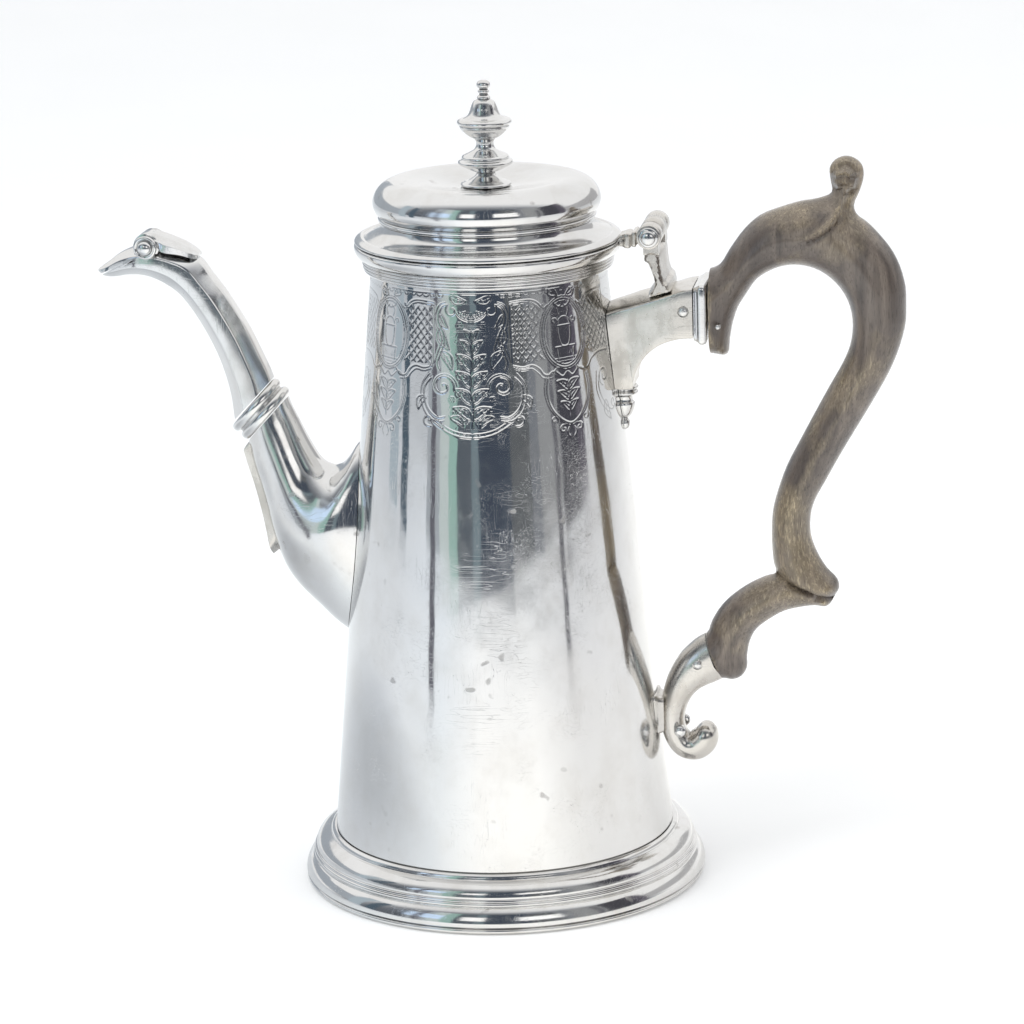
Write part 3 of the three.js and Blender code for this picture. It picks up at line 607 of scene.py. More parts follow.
def surface_marks(o, smooth_steps=2, gain=1.0):
    """Point attributes hollow and crest: how far each point sits below or above its neighbours, relative to edge length."""
    me = o.data
    n = len(me.vertices)
    co = np.empty(n * 3)
    me.vertices.foreach_get("co", co)
    co = co.reshape(-1, 3)
    no = np.empty(n * 3)
    me.vertices.foreach_get("normal", no)
    no = no.reshape(-1, 3)
    e = np.empty(len(me.edges) * 2, np.int32)
    me.edges.foreach_get("vertices", e)
    e = e.reshape(-1, 2)
    d = co[e[:, 1]] - co[e[:, 0]]
    ln = np.maximum(np.linalg.norm(d, axis=1), 1e-9)
    a = np.zeros(n)
    w = np.zeros(n)
    # turning of the normal along each edge, per mm: positive in hollows
    turn = -np.einsum("ij,ij->i", no[e[:, 1]] - no[e[:, 0]], d) / ln
    for k in (0, 1):
        np.add.at(a, e[:, k], turn)
        np.add.at(w, e[:, k], ln * 1000)
    c = a / np.maximum(w, 1e-6)
    c = np.clip(c * gain, -1.5, 1.5)
    for _ in range(smooth_steps):
        s = np.zeros(n)
        k = np.zeros(n)
        for i, j in ((0, 1), (1, 0)):
            np.add.at(s, e[:, i], c[e[:, j]])
            np.add.at(k, e[:, i], 1)
        c = 0.5 * c + 0.5 * s / np.maximum(k, 1)
    for name, val in (("hollow", np.clip(c, 0, 1)), ("crest", np.clip(-c, 0, 1))):
        at = me.attributes.get(name) or me.attributes.new(name, "FLOAT", "POINT")
        at.data.foreach_set("value", val.astype(np.float32))


# ------------------------------------------------------------------ foot, base and rim
o = revolved("t", [(56.9, 0.0, 1), (58.4, 0.0, 1), (58.95, 0.5), (58.95, 1.0), (58.4, 1.45, 1), (56.9, 1.45, 1)], 256, 4, 0.1)
piece(o, "foot_wire", "pot", SILVER_PLAIN)
FOOT = [
    (57.2, 1.7, 1), (58.75, 1.7, 1), (59.1, 2.2), (59.1, 3.0), (58.7, 4.4), (57.9, 5.8), (57.0, 6.75, 1), (56.45, 6.95, 1), (56.4, 7.25, 1), (56.85, 7.6), (56.8, 8.2),
    (56.4, 8.5, 1), (56.55, 8.8), (56.35, 9.25), (56.0, 9.35, 1), (56.0, 9.9, 1), (55.7, 11.0), (54.9, 12.1), (53.7, 13.0), (52.4, 13.5, 1), (51.6, 13.65, 1), (51.5, 14.2, 1),
    (51.15, 14.75), (50.5, 15.1, 1), (48.6, 15.15, 1), (48.6, 14.3, 1), (51.2, 12.9), (54.3, 10.6), (55.0, 8.0), (56.9, 4.6),
]
o = revolved("t", FOOT, 320, 5, 0.12)
surface_marks(o, 1, 0.8)
piece(o, "foot_moulding", "pot", SILVER_PLAIN)
o = revolved("t", [(0, 14.6, 1), (30, 14.9), (48.2, 15.6, 1), (48.6, 15.6, 1), (48.6, 16.8, 1), (47.5, 16.8, 1), (30, 16.1), (0, 15.8, 1)], 160, 6, 0.1)
piece(o, "base_plate", "pot", SILVER_PLAIN)
RIM = [
    (body_r(189.3) + 0.06, 189.3, 1), (37.8, 189.3, 1), (38.3, 188.9), (38.35, 188.1), (38.0, 187.0), (37.45, 186.2), (36.95, 185.65, 1), (body_r(185.55) + 0.06, 185.55, 1),
]
o = revolved("t", RIM, 320, 6, 0.1)
surface_marks(o, 1, 0.8)
piece(o, "rim_moulding", "pot", SILVER_PLAIN)
REED = [
    (body_r(185.3) + 0.06, 185.3, 1), (35.75, 185.3, 1), (36.2, 184.95), (36.2, 184.6), (35.75, 184.3, 1), (36.1, 184.05), (36.1, 183.65), (35.7, 183.35, 1), (35.95, 183.1), (35.95, 182.75),
    (35.55, 182.45, 1), (35.7, 182.2), (35.6, 181.85), (35.0, 181.45, 1), (body_r(181.4) + 0.06, 181.4, 1),
]
o = revolved("t", REED, 320, 5, 0.06)
surface_marks(o, 1, 0.8)
piece(o, "reeded_band", "pot", SILVER_PLAIN)

# ------------------------------------------------------------------ body with its engraving
N_T = 1080
R_BAND = 35.3
rows = np.concatenate([np.linspace(15.4, 136.0, 62)[:-1], np.arange(136.0, 181.2, 0.22), np.linspace(181.2, 189.3, 5)[1:]])
N_Z = len(rows)


def arc(cx, cz, r, a0, a1, n=24, rz=None):
    a = np.radians(np.linspace(a0, a1, n))
    return np.stack([cx + r * np.cos(a), cz + (rz or r) * np.sin(a)], 1)


def spiral(cx, cz, r0, r1, a0, a1, n=48):
    a = np.radians(np.linspace(a0, a1, n))
    r = np.linspace(r0, r1, n)
    return np.stack([cx + r * np.cos(a), cz + r * np.sin(a)], 1)


STROKES = []  # (points, width, depth)


def cut_line(pts, width=0.17, depth=1.0, smooth=True):
    p = np.asarray(pts, float)
    STROKES.append((catmull(p, 6) if smooth and len(p) > 2 else p, width, depth))


def both(pts, **kw):
    p = np.asarray(pts, float)
    cut_line(p, **kw)
    cut_line(p * [-1, 1], **kw)


def leaf(x0, z0, x1, z1, belly, curl=0.0, veins=4, mirror=True):
    """Pointed leaf from (x0, z0) to (x1, z1) with a midrib and side veins."""
    a, b = np.array([x0, z0]), np.array([x1, z1])
    d = b - a
    n = np.array([-d[1], d[0]])
    put = both if mirror else cut_line
    mid = [a + d * t + n * curl * math.sin(math.pi * t) for t in np.linspace(0, 1, 7)]
    put(mid, width=0.13, depth=0.8)
    for s in (1, -1):
        put([a + d * t + n * (curl * math.sin(math.pi * t) + s * belly * math.sin(math.pi * t**0.8) * (1 - 0.25 * t)) for t in np.linspace(0, 1, 9)], width=0.18)
        for k in range(1, veins + 1):
            t = k / (veins + 1.0)
            root = a + d * t + n * curl * math.sin(math.pi * t)
            tip = a + d * min(t + 0.16, 1) + n * (curl * math.sin(math.pi * t) + s * 0.72 * belly * math.sin(math.pi * min(t + 0.1, 1) ** 0.8))
            put([root, tip], width=0.11, depth=0.6, smooth=False)


# cartouche: shell at the top, scrolled sides, deep lower arc
for k, r in enumerate((4.6, 3.7, 2.7)):
    cut_line(arc(0, 176.3, r, 195, 345, 20, rz=r * 0.78), width=0.20 if k == 0 else 0.13)
for a in (208, 225, 242, 258, 270, 282, 298, 315, 332):
    cut_line([(1.0 * math.cos(math.radians(a)), 176.0 + 0.8 * math.sin(math.radians(a))), (4.5 * math.cos(math.radians(a)), 176.3 + 3.5 * math.sin(math.radians(a)))], width=0.12, depth=0.8, smooth=False)
both(spiral(5.6, 175.6, 0.4, 2.1, 60, 420), width=0.18)
both([(6.6, 177.3), (8.6, 176.6), (9.7, 174.2), (9.2, 171.4), (8.0, 169.2), (7.8, 166.6), (9.0, 163.6), (9.9, 160.8), (9.2, 158.6)], width=0.21)
both([(7.4, 177.9), (9.4, 177.2), (10.6, 174.4), (10.1, 171.0), (8.9, 168.9), (8.8, 166.6), (9.9, 163.8), (10.9, 160.6)], width=0.16)
leaf(9.4, 170.6, 6.2, 164.2, 0.20, 0.10, 3)
leaf(9.0, 164.2, 5.6, 158.6, 0.22, -0.12, 3)
leaf(9.4, 174.4, 6.6, 170.4, 0.22, 0.12, 2)
both(spiral(8.2, 154.2, 0.35, 3.5, 30, 560, 70), width=0.22)
both(spiral(8.2, 154.2, 0.9, 4.2, 120, 540, 60), width=0.13)
both([(11.6, 156.8), (13.6, 154.2), (13.7, 150.4), (12.2, 147.2), (9.6, 145.4), (7.4, 145.8)], width=0.21)
both([(12.2, 158.0), (14.5, 154.6), (14.7, 150.0), (13.0, 146.2), (10.0, 144.3), (7.6, 144.6)], width=0.15)
both(spiral(12.4, 144.6, 0.3, 1.9, 250, -120, 40), width=0.20)
both([(11.2, 144.2), (9.0, 142.6), (6.2, 141.0), (3.2, 140.1), (0, 139.8)], width=0.24)
both([(10.4, 145.0), (8.6, 143.6), (5.9, 142.0), (3.0, 141.2), (0, 140.9)], width=0.15)
for t in np.linspace(-0.9, 0.9, 11):
    x = t * 9.2
    z = 139.8 + 3.0 * t * t
    cut_line([(x, z + 0.1), (x * 0.97, z + 1.2)], width=0.11, depth=0.7, smooth=False)
leaf(13.4, 151.4, 15.6, 147.2, 0.25, 0.2, 2)
leaf(6.0, 145.6, 2.2, 142.6, 0.22, -0.2, 3)
# generic leaf spray filling the cartouche
cut_line([(0, 142.4), (0.5, 148.0), (-0.4, 155.0), (0.3, 162.0), (0, 170.6)], width=0.22)
for z, w, up in ((145.0, 5.4, 3.4), (149.4, 5.2, 4.2), (154.0, 4.6, 4.6), (158.8, 4.3, 4.6), (163.4, 3.5, 4.0), (167.0, 2.4, 3.4)):
    leaf(0.2, z, w, z + up, 0.22, 0.14, 4)
for z, w in ((147.6, 2.6), (152.2, 3.0), (157.0, 2.7), (161.6, 2.3)):
    both(spiral(w + 0.6, z, 0.2, 1.0, 0, 400, 30), width=0.12)
for cx, cz in ((0, 172.6), (3.4, 171.4), (5.6, 150.6), (4.8, 147.0), (2.0, 144.0)):
    for a in range(0, 360, 60):
        both(arc(cx + 0.62 * math.cos(math.radians(a)), cz + 0.62 * math.sin(math.radians(a)), 0.34, 0, 360, 10), width=0.11, depth=0.8)
# stippled ground behind the spray
rng = np.random.default_rng(7)
for x, z in zip(rng.uniform(-7.4, 7.4, 520), rng.uniform(142.2, 171.0, 520)):
    if abs(x) < (7.6 if z > 157 else 5.2 if z > 150 else 7.0 - abs(z - 147) * 0.4):
        a = rng.uniform(0, math.pi)
        cut_line([(x, z), (x + 0.35 * math.cos(a), z + 0.35 * math.sin(a))], width=0.11, depth=0.65, smooth=False)

# lattice panels between the cartouche and the ovals
def lattice(x0, x1, z0, z1, cut_left=None, keep=None, mirror=True):
    put = both if mirror else cut_line
    step = 2.7
    for s in (1, -1):
        for c in np.arange(-60, 60, step):
            for off, wd in ((0.0, 0.13), (0.42, 0.10)):
                pts = []
                for t in np.linspace(x0, x1, 40):
                    z = (z0 + z1) / 2 + s * (t - (x0 + x1) / 2) * 1.15 + c + off
                    pts.append((t, z))
                p = np.array(pts)
                ok = (p[:, 1] > z0) & (p[:, 1] < z1)
                if keep is not None:
                    ok &= keep(p)
                idx = np.flatnonzero(ok)
                if len(idx) > 1:
                    for run in np.split(idx, np.flatnonzero(np.diff(idx) > 1) + 1):
                        if len(run) > 1:
                            put([p[run[0]], p[run[-1]]], width=wd, depth=0.85, smooth=False)


OV_X, OV_Z, OV_A, OV_B = 27.73, 167.6, 7.3, 9.7


def outside_oval(p):
    return ((p[:, 0] - OV_X) / (OV_A + 1.2)) ** 2 + ((p[:, 1] - OV_Z) / (OV_B + 1.2)) ** 2 > 1


lattice(11.4, 21.6, 160.4, 176.8, keep=outside_oval)
both([(10.9, 177.6), (13.5, 177.9), (17.6, 177.9), (19.6, 177.0), (21.4, 175.2), (22.8, 176.2)], width=0.20)
both([(10.9, 176.9), (13.5, 177.2), (17.4, 177.2), (19.2, 176.3), (20.8, 174.6)], width=0.13)
both([(11.0, 177.0), (11.0, 169.0), (11.2, 160.2)], width=0.15)
both([(11.2, 160.0), (14.2, 159.2), (17.0, 159.6), (19.0, 158.4), (20.4, 156.6), (22.6, 156.4), (24.6, 158.0), (27.73, 157.0)], width=0.20)
both([(11.6, 159.2), (14.2, 158.4), (16.6, 158.7), (18.4, 157.4), (20.0, 155.7), (22.8, 155.4)], width=0.13)
# ovals with a plain urn on a small stand
for da, wd in ((0.0, 0.22), (0.62, 0.14), (-0.75, 0.12)):
    both(arc(OV_X, OV_Z, OV_A + da, 0, 360, 80, rz=OV_B + da), width=wd)
both(arc(OV_X, 178.2, 3.4, 200, 340, 16), width=0.15)
both([(OV_X - 2.3, 169.6), (OV_X - 2.0, 166.2), (OV_X - 1.0, 164.0), (OV_X + 1.0, 164.0), (OV_X + 2.0, 166.2), (OV_X + 2.3, 169.6)], width=0.17)
both([(OV_X - 2.6, 169.7), (OV_X + 2.6, 169.7)], width=0.15, smooth=False)
both(arc(OV_X, 169.9, 2.2, 0, 180, 14), width=0.15)
both([(OV_X - 3.6, 163.7), (OV_X + 3.6, 163.7)], width=0.17, smooth=False)
both([(OV_X - 3.0, 163.5), (OV_X - 2.6, 159.8)], width=0.14, smooth=False)
both([(OV_X + 3.0, 163.5), (OV_X + 2.6, 159.8)], width=0.14, smooth=False)
for z in (159.6, 160.4, 161.4):
    both([(OV_X - 4.2, z), (OV_X + 4.2, z)], width=0.11, depth=0.6, smooth=False)
for x in np.arange(-2.2, 2.3, 0.62):
    both([(OV_X + x, 163.3), (OV_X + x * 0.9, 160.6)], width=0.10, depth=0.55, smooth=False)
for s in (-1, 1):
    both(spiral(OV_X + s * 3.3, 171.2, 0.2, 0.95, 0, 380 * s, 26), width=0.13)
    both([(OV_X + s * 1.2, 172.0), (OV_X + s * 2.0, 174.2), (OV_X + s * 0.4, 175.6)], width=0.13)
# pendants under the ovals
for g, wd in ((0.0, 0.20), (0.62, 0.13)):
    both([(OV_X - 6.4 - g, 155.6 + g), (OV_X - 7.0 - g, 151.4), (OV_X - 5.6 - g, 146.6), (OV_X - 2.6, 143.2 - g), (OV_X, 142.0 - g), (OV_X + 2.6, 143.2 - g), (OV_X + 5.6 + g, 146.6), (OV_X + 7.0 + g, 151.4), (OV_X + 6.4 + g, 155.6 + g)], width=wd)
both([(OV_X - 6.6, 156.0), (OV_X - 4.4, 157.2), (OV_X - 1.6, 155.4), (OV_X, 156.6), (OV_X + 1.6, 155.4), (OV_X + 4.4, 157.2), (OV_X + 6.6, 156.0)], width=0.18)
for s in (-1, 1):
    for z, w in ((145.4, 3.0), (148.4, 3.8), (151.4, 3.9)):
        a, b = (OV_X, z), (OV_X + s * w, z + 2.9)
        leaf(a[0], a[1], b[0], b[1], 0.22, 0.15 * s, 3)
    both(spiral(OV_X + s * 2.6, 140.6, 0.25, 1.35, 90, 90 + s * 420, 32), width=0.16)
    both([(OV_X, 142.0), (OV_X + s * 1.4, 139.6), (OV_X + s * 0.6, 137.9)], width=0.14)
    both(spiral(OV_X + s * 5.2, 143.4, 0.2, 1.2, 0, s * 400, 30), width=0.14)
both([(OV_X, 143.6), (OV_X + 0.3, 148.4), (OV_X - 0.2, 154.6)], width=0.17)
# half panels towards the handle and the spout
HALF = 55.45


def half_keep(p):
    return outside_oval(p) & (p[:, 0] < HALF - 2.0)


lattice(34.2, 46.0, 161.0, 176.0, keep=half_keep)
both([(32.8, 176.0), (34.6, 174.8), (36.6, 176.6), (41.0, 177.4), (46.2, 177.4)], width=0.19)
both([(30.6, 158.2), (33.0, 156.6), (35.4, 156.8), (37.4, 158.8), (41.0, 160.0), (46.2, 159.6)], width=0.19)
both([(46.2, 177.4), (46.4, 168.0), (46.2, 159.6)], width=0.15)
both(spiral(42.6, 152.8, 0.3, 2.9, 100, 620, 60), width=0.20)
both([(39.9, 153.6), (39.4, 149.4), (41.6, 145.2), (45.0, 142.4), (47.2, 142.6)], width=0.20)
both([(38.9, 155.0), (38.2, 149.2), (40.6, 144.2), (44.6, 141.2)], width=0.14)
both(spiral(46.6, 144.4, 0.25, 1.7, -80, 320, 36), width=0.17)
leaf(44.8, 151.2, 47.6, 146.6, 0.24, 0.12, 3)
leaf(42.0, 146.0, 44.4, 139.6, 0.22, -0.12, 3)
leaf(46.8, 157.8, 50.8, 150.6, 0.20, 0.12, 4)
for z in np.arange(160.0, 177.0, 1.7):
    both([(47.4, z), (50.6, z + 0.9), (53.8, z)], width=0.12, depth=0.7)
# border under the reeded band: small lunettes and leaf tips
cut_line([(-27.7, 180.3), (27.7, 180.3)], width=0.14, smooth=False)
for k in range(-12, 13):
    x = k * 2.31
    if abs(x) > 9:
        cut_line(arc(x, 180.2, 0.95, 180, 360, 10), width=0.12, depth=0.75)
leaf(23.0, 179.6, 26.4, 178.0, 0.3, 0.1, 2)
leaf(32.4, 179.6, 29.0, 178.0, 0.3, 0.1, 2)
leaf(6.2, 179.4, 1.0, 178.2, 0.22, 0.1, 3)
for k in range(12, 24):
    both(arc(k * 2.31, 180.2, 0.95, 180, 360, 10), width=0.12, depth=0.75)

cut = np.zeros((N_Z, N_T), np.float32)
zi0, dz = 61, 0.22
du = 2 * math.pi * R_BAND / N_T
samples = []
for pts, w, dep in STROKES:
    seg = np.linalg.norm(np.diff(pts, axis=0), axis=1)
    total = seg.sum()
    if total < 1e-6:
        continue
    s = np.concatenate([[0], np.cumsum(seg)])
    q = np.arange(0, total + 0.05, 0.09)
    ends = np.clip(np.minimum(q, total - q) / 0.5, 0.35, 1)  # lines thin out at their ends
    samples.append(np.stack([np.interp(q, s, pts[:, 0]), np.interp(q, s, pts[:, 1]), np.full(len(q), w), dep * ends], 1))
S = np.vstack(samples)
for centre, sign in ((-90.0, 1.0), (90.0, -1.0)):
    # column position of each sample, mirrored on the far side
    col = (np.radians(centre) + sign * S[:, 0] / R_BAND) / (2 * math.pi) * N_T
    row = zi0 + (S[:, 1] - 136.0) / dz
    ci, ri = np.round(col).astype(int), np.round(row).astype(int)
    for dc in range(-3, 4):
        for dr in range(-3, 4):
            dist2 = ((ci + dc - col) * du) ** 2 + ((ri + dr - row) * dz) ** 2
            val = S[:, 3] * np.exp(-dist2 / (S[:, 2] * 0.84) ** 2)
            rr = ri + dr
            ok = (rr >= zi0) & (rr < N_Z - 4) & (val > 0.02)
            np.maximum.at(cut, (rr[ok], (ci[ok] + dc) % N_T), val[ok])
cut = np.clip(cut, 0, 1)

ang = np.arange(N_T) / N_T * 2 * math.pi
RR = body_r(rows)[:, None] - 0.085 * cut
# slow unevenness of hand-raised sheet, held to nothing at both ends
ZZ = rows[:, None]
hold = np.clip((ZZ - 15.4) / 12, 0, 1) * np.clip((181 - ZZ) / 12, 0, 1)
wob = (
    0.055 * np.sin(3 * ang + 0.021 * ZZ + 0.7) * np.sin(ZZ * 0.045 + 1.0)
    + 0.030 * np.sin(5 * ang - 0.05 * ZZ + 2.0) * np.sin(ZZ * 0.083 + 0.3)
    + 0.016 * np.sin(11 * ang + 0.12 * ZZ) * np.sin(ZZ * 0.19 + 1.9)
    + 0.008 * np.sin(17 * ang - 0.21 * ZZ + 1.0) * np.sin(ZZ * 0.33)
)
RR = RR - 0.09 + hold * wob
RR = np.minimum(RR, body_r(rows)[:, None])
outer = np.stack([RR * np.cos(ang), RR * np.sin(ang), np.broadcast_to(ZZ, RR.shape)], 2).reshape(-1, 3)
IN_Z = np.linspace(15.4, 189.3, 60)
ri_ = body_r(IN_Z)[:, None] - 1.0
# the inside is finer in height but shares the same count round the pot
inner = np.stack([ri_ * np.cos(ang), ri_ * np.sin(ang), np.broadcast_to(IN_Z[:, None], (60, N_T))], 2).reshape(-1, 3)


def grid_quads(nr, start, flip):
    i = np.arange(N_T)
    j = (i + 1) % N_T
    out = []
    for k in range(nr - 1):
        a, b, c, d = start + k * N_T + i, start + k * N_T + j, start + (k + 1) * N_T + j, start + (k + 1) * N_T + i
        out.append(np.stack([a, d, c, b] if flip else [a, b, c, d], 1))
    return np.vstack(out)


off = len(outer)
i = np.arange(N_T)
j = (i + 1) % N_T
top = np.stack([(N_Z - 1) * N_T + i, (N_Z - 1) * N_T + j, off + 59 * N_T + j, off + 59 * N_T + i], 1)
bot = np.stack([j, i, off + i, off + j], 1)
quads = np.vstack([grid_quads(N_Z, 0, False), grid_quads(60, off, True), top, bot])
o = mesh_of("t", np.vstack([outer, inner]), quads)
at = o.data.attributes.new("cut", "FLOAT", "POINT")
at.data.foreach_set("value", np.concatenate([cut.ravel(), np.zeros(len(inner))]).astype(np.float32))
hv, hf = [], []
for row_, n_ in ((0, 3), (1, 4), (2, 3), (3, 2)):
    for k in range(n_):
        y, z = (k - (n_ - 1) / 2) * 5.2, 96 + row_ * 6.2
        v, f = loft_arrays([[(x, y + 1.5 * math.cos(a), z + 1.5 * math.sin(a)) for a in np.arange(24) / 24 * 2 * math.pi] for x in (-60, -30)])
        base = sum(len(q) for q in hv)
        hv.append(v)
        hf += [tuple(i + base for i in p) for p in f]
minus(o, mesh_of("tool", np.vstack(hv), hf))
piece(o, "body_shell", "pot", SILVER_BODY, angle=50)

# ------------------------------------------------------------------ lower spout
ROOT = [
    ((-60.2, 142.9), (-72.2, 129.9), 7.5),
    ((-59.2, 140.0), (-71.9, 127.0), 7.8),
    ((-57.6, 136.6), (-71.0, 122.6), 8.4),
    ((-55.4, 131.8), (-69.2, 116.6), 9.4),
    ((-53.4, 127.9), (-67.6, 110.4), 10.4),
    ((-51.2, 124.4), (-66.2, 103.8), 11.6),
    ((-48.7, 122.6), (-64.3, 97.2), 12.9),
    ((-46.3, 122.4), (-61.6, 91.0), 14.0),
    ((-44.1, 123.6), (-58.0, 86.0), 14.8),
    ((-41.9, 126.3), (-53.0, 80.9), 15.2),
    ((-39.6, 129.4), (-46.6, 74.6), 14.9),
    ((-35.0, 131.5), (-38.0, 69.0), 13.6),
]
NS = 72
o = lofted("t", [oval(b, f, w, NS) for b, f, w in ROOT], 6)
hollow = lofted(
    "tool",
    [oval((-62.4, 146.6), (-74.4, 133.6), 7.4, NS, shrink=1.2)] + [oval(b, f, w, NS, shrink=1.2) for b, f, w in ROOT] + [oval((-28, 133), (-30, 66), 12.6, NS, shrink=1.2)],
    4,
)
minus(o, body_block(0.02), hollow)
surface_marks(o, 2, 0.6)
piece(o, "spout_lower", "pot", SILVER_PLAIN, angle=40)
STRAP_IN = [(-72.95, 129.2), (-72.35, 126.9), (-71.25, 122.5), (-69.45, 116.4), (-67.85, 110.2), (-66.5, 103.6), (-64.9, 97.6)]
STRAP_OUT = [(-66.5, 95.5), (-67.2, 98.4), (-67.9, 103.2), (-69.1, 109.6), (-70.5, 115.9), (-72.3, 122.2), (-73.4, 126.4), (-74.0, 128.4)]
lin, lout = catmull(STRAP_IN, 6), catmull(STRAP_OUT[::-1], 6)
rings = []
for t in np.linspace(0, 1, 44):
    a = np.array([np.interp(t, np.linspace(0, 1, len(lout)), lout[:, k]) for k in (0, 1)])
    b = np.array([np.interp(t, np.linspace(0, 1, len(lin)), lin[:, k]) for k in (0, 1)]) + np.array([1.6, 0.3])
    w = 3.3 * (1 - max(0.0, (t - 0.86) / 0.14) ** 1.6 * 0.80)
    a = a + (b - a) * 0.62 * max(0.0, 1 - t / 0.10) ** 1.5
    ring = [(b[0], -w, b[1]), (a[0] * 0.45 + b[0] * 0.55, -w, a[1] * 0.45 + b[1] * 0.55)]
    # a flat ribbon with a raised spine down its middle
    for y, k in ((-0.97, 0.16), (-0.82, 0.0), (-0.42, 0.02), (-0.16, -0.10), (0.0, -0.16), (0.16, -0.10), (0.42, 0.02), (0.82, 0.0), (0.97, 0.16)):
        ring.append((a[0] + k * 1.2, y * w, a[1] + k * 0.2))
    ring += [(a[0] * 0.45 + b[0] * 0.55, w, a[1] * 0.45 + b[1] * 0.55), (b[0], w, b[1])]
    rings.append(ring)
o = lofted("t", rings)
root_tool = lofted("tool", [oval(b, f, w, NS) for b, f, w in ROOT], 6)
minus(o, root_tool)
surface_marks(o, 1, 0.6)
piece(o, "spout_drop", "pot", SILVER_CAST, angle=35)
# collar: two half-round bands with a groove between
CC, CD, CN = np.array([-68.35, 139.05]), np.array([0.675, 0.738]), np.array([-0.738, 0.675])


def collar_ring(off, a, w, n=80):
    c = CC + CN * off
    return oval(c + CD * a, c - CD * a, w, n)


bands = []
for o0 in (-1.72, 1.72):
    for k in np.linspace(-90, 90, 13):
        s, c = math.sin(math.radians(k)), math.cos(math.radians(k))
        bands.append((o0 + 1.42 * s, 8.62 + 1.22 * c))
o = lofted("t", [collar_ring(q, a, a * 0.86) for q, a in bands])
minus(o, lofted("tool", [collar_ring(-5, 7.0, 5.9), collar_ring(5, 7.0, 5.9)]))
surface_marks(o, 1, 0.5)
piece(o, "spout_collar", "pot", SILVER_PLAIN, angle=40)

# ------------------------------------------------------------------ faceted spout with its beak, flap and eyes
NECK = [
    ((-64.2, 148.5), (-76.2, 135.9), 7.3),
    ((-65.2, 151.5), (-77.1, 143.6), 7.1),
    ((-67.4, 156.6), (-79.1, 151.6), 6.9),
    ((-69.9, 162.2), (-81.3, 157.4), 6.7),
    ((-73.2, 168.2), (-84.4, 163.6), 6.5),
    ((-77.0, 174.4), (-88.1, 169.6), 6.3),
    ((-80.6, 179.4), (-91.6, 173.8), 6.2),
    ((-84.0, 184.0), (-95.4, 176.4), 6.1),
    ((-89.0, 186.3), (-98.6, 177.9), 6.0),
    ((-95.0, 187.7), (-101.2, 178.7), 5.9),
    ((-101.0, 187.9), (-103.6, 179.0), 5.6),
    ((-104.6, 187.0), (-106.0, 179.0), 5.0),
    ((-108.1, 185.3), (-108.6, 178.7), 4.1),
    ((-111.3, 183.0), (-111.4, 178.5), 2.9),
    ((-113.6, 181.4), (-113.6, 178.9), 1.6),
    ((-114.7, 180.6), (-114.6, 179.8), 0.7),
]


def slim(b, f, k):
    b, f = np.array(b), np.array(f)
    L = np.linalg.norm(b - f)
    t = min(0.62 * max(0.0, min(1.0, (12 - k) / 4)), L * 0.2) / L
    return b + (f - b) * t, f + (b - f) * t


neck = [(*slim(b, f, k), w) for k, (b, f, w) in enumerate(NECK)]
o = lofted("t", [faceted(b, f, w) for b, f, w in neck], 6)
hollow = lofted("tool", [faceted((-62.6, 145.6), (-74.6, 131.4), 7.3, 1.2)] + [faceted(b, f, w, 1.0) for b, f, w in neck[:12]], 5)
FX, FZ = -99.2, 187.9
mouth = prism("tool", catmull([(-117, 177.15), (-110.6, 180.3), (-103.2, 183.5)], 8).tolist() + catmull([(-103.0, 184.1), (-110.4, 180.95), (-117, 177.95)], 8).tolist(), -9, 9)
well = prism("tool", [(-95.2, 181.0), (-86.6, 177.0), (-86.6, 192), (-95.2, 192)], -4.2, 4.2)
trim = prism("tool", [(-96.6, 188.35), (-90, 187.0), (-83.0, 185.5), (-83.0, 196), (-94.2, 196)], -9, 9)
minus(o, hollow, trim, well, mouth, rod_y("tool", FX, FZ, 4.15, -4.75, 4.75, 72))
for y0, y1 in ((-5.9, -4.75), (4.75, 5.9)):
    union(o, rod_y("tool", FX, FZ, 3.3, y0, y1, 64, 0.1))
minus(o, rod_y("tool", FX, FZ, 0.96, -9, 9, 32))
surface_marks(o, 2, 0.4)
piece(o, "spout_neck", "pot", SILVER_PLAIN, angle=30)
for flip, tag in ((True, "near"), (False, "far")):
    prof = [(0, 6.0, 1), (3.2, 6.0, 1), (3.42, 6.3), (3.3, 6.7), (2.9, 6.95), (2.4, 6.75, 1), (2.15, 6.72, 1), (2.05, 7.3), (1.7, 7.95), (1.0, 8.4), (0, 8.55, 1)]
    o = turned_y("t", prof, FX, FZ, 72, 5, 0.08, flip)
    surface_marks(o, 1, 0.6)
    piece(o, "spout_eye_" + tag, "pot", SILVER_PLAIN)
o = rod_y("t", FX, FZ, 0.9, -5.85, 5.85, 32)
piece(o, "spout_flap_pin", "pot", STEEL_PIN)
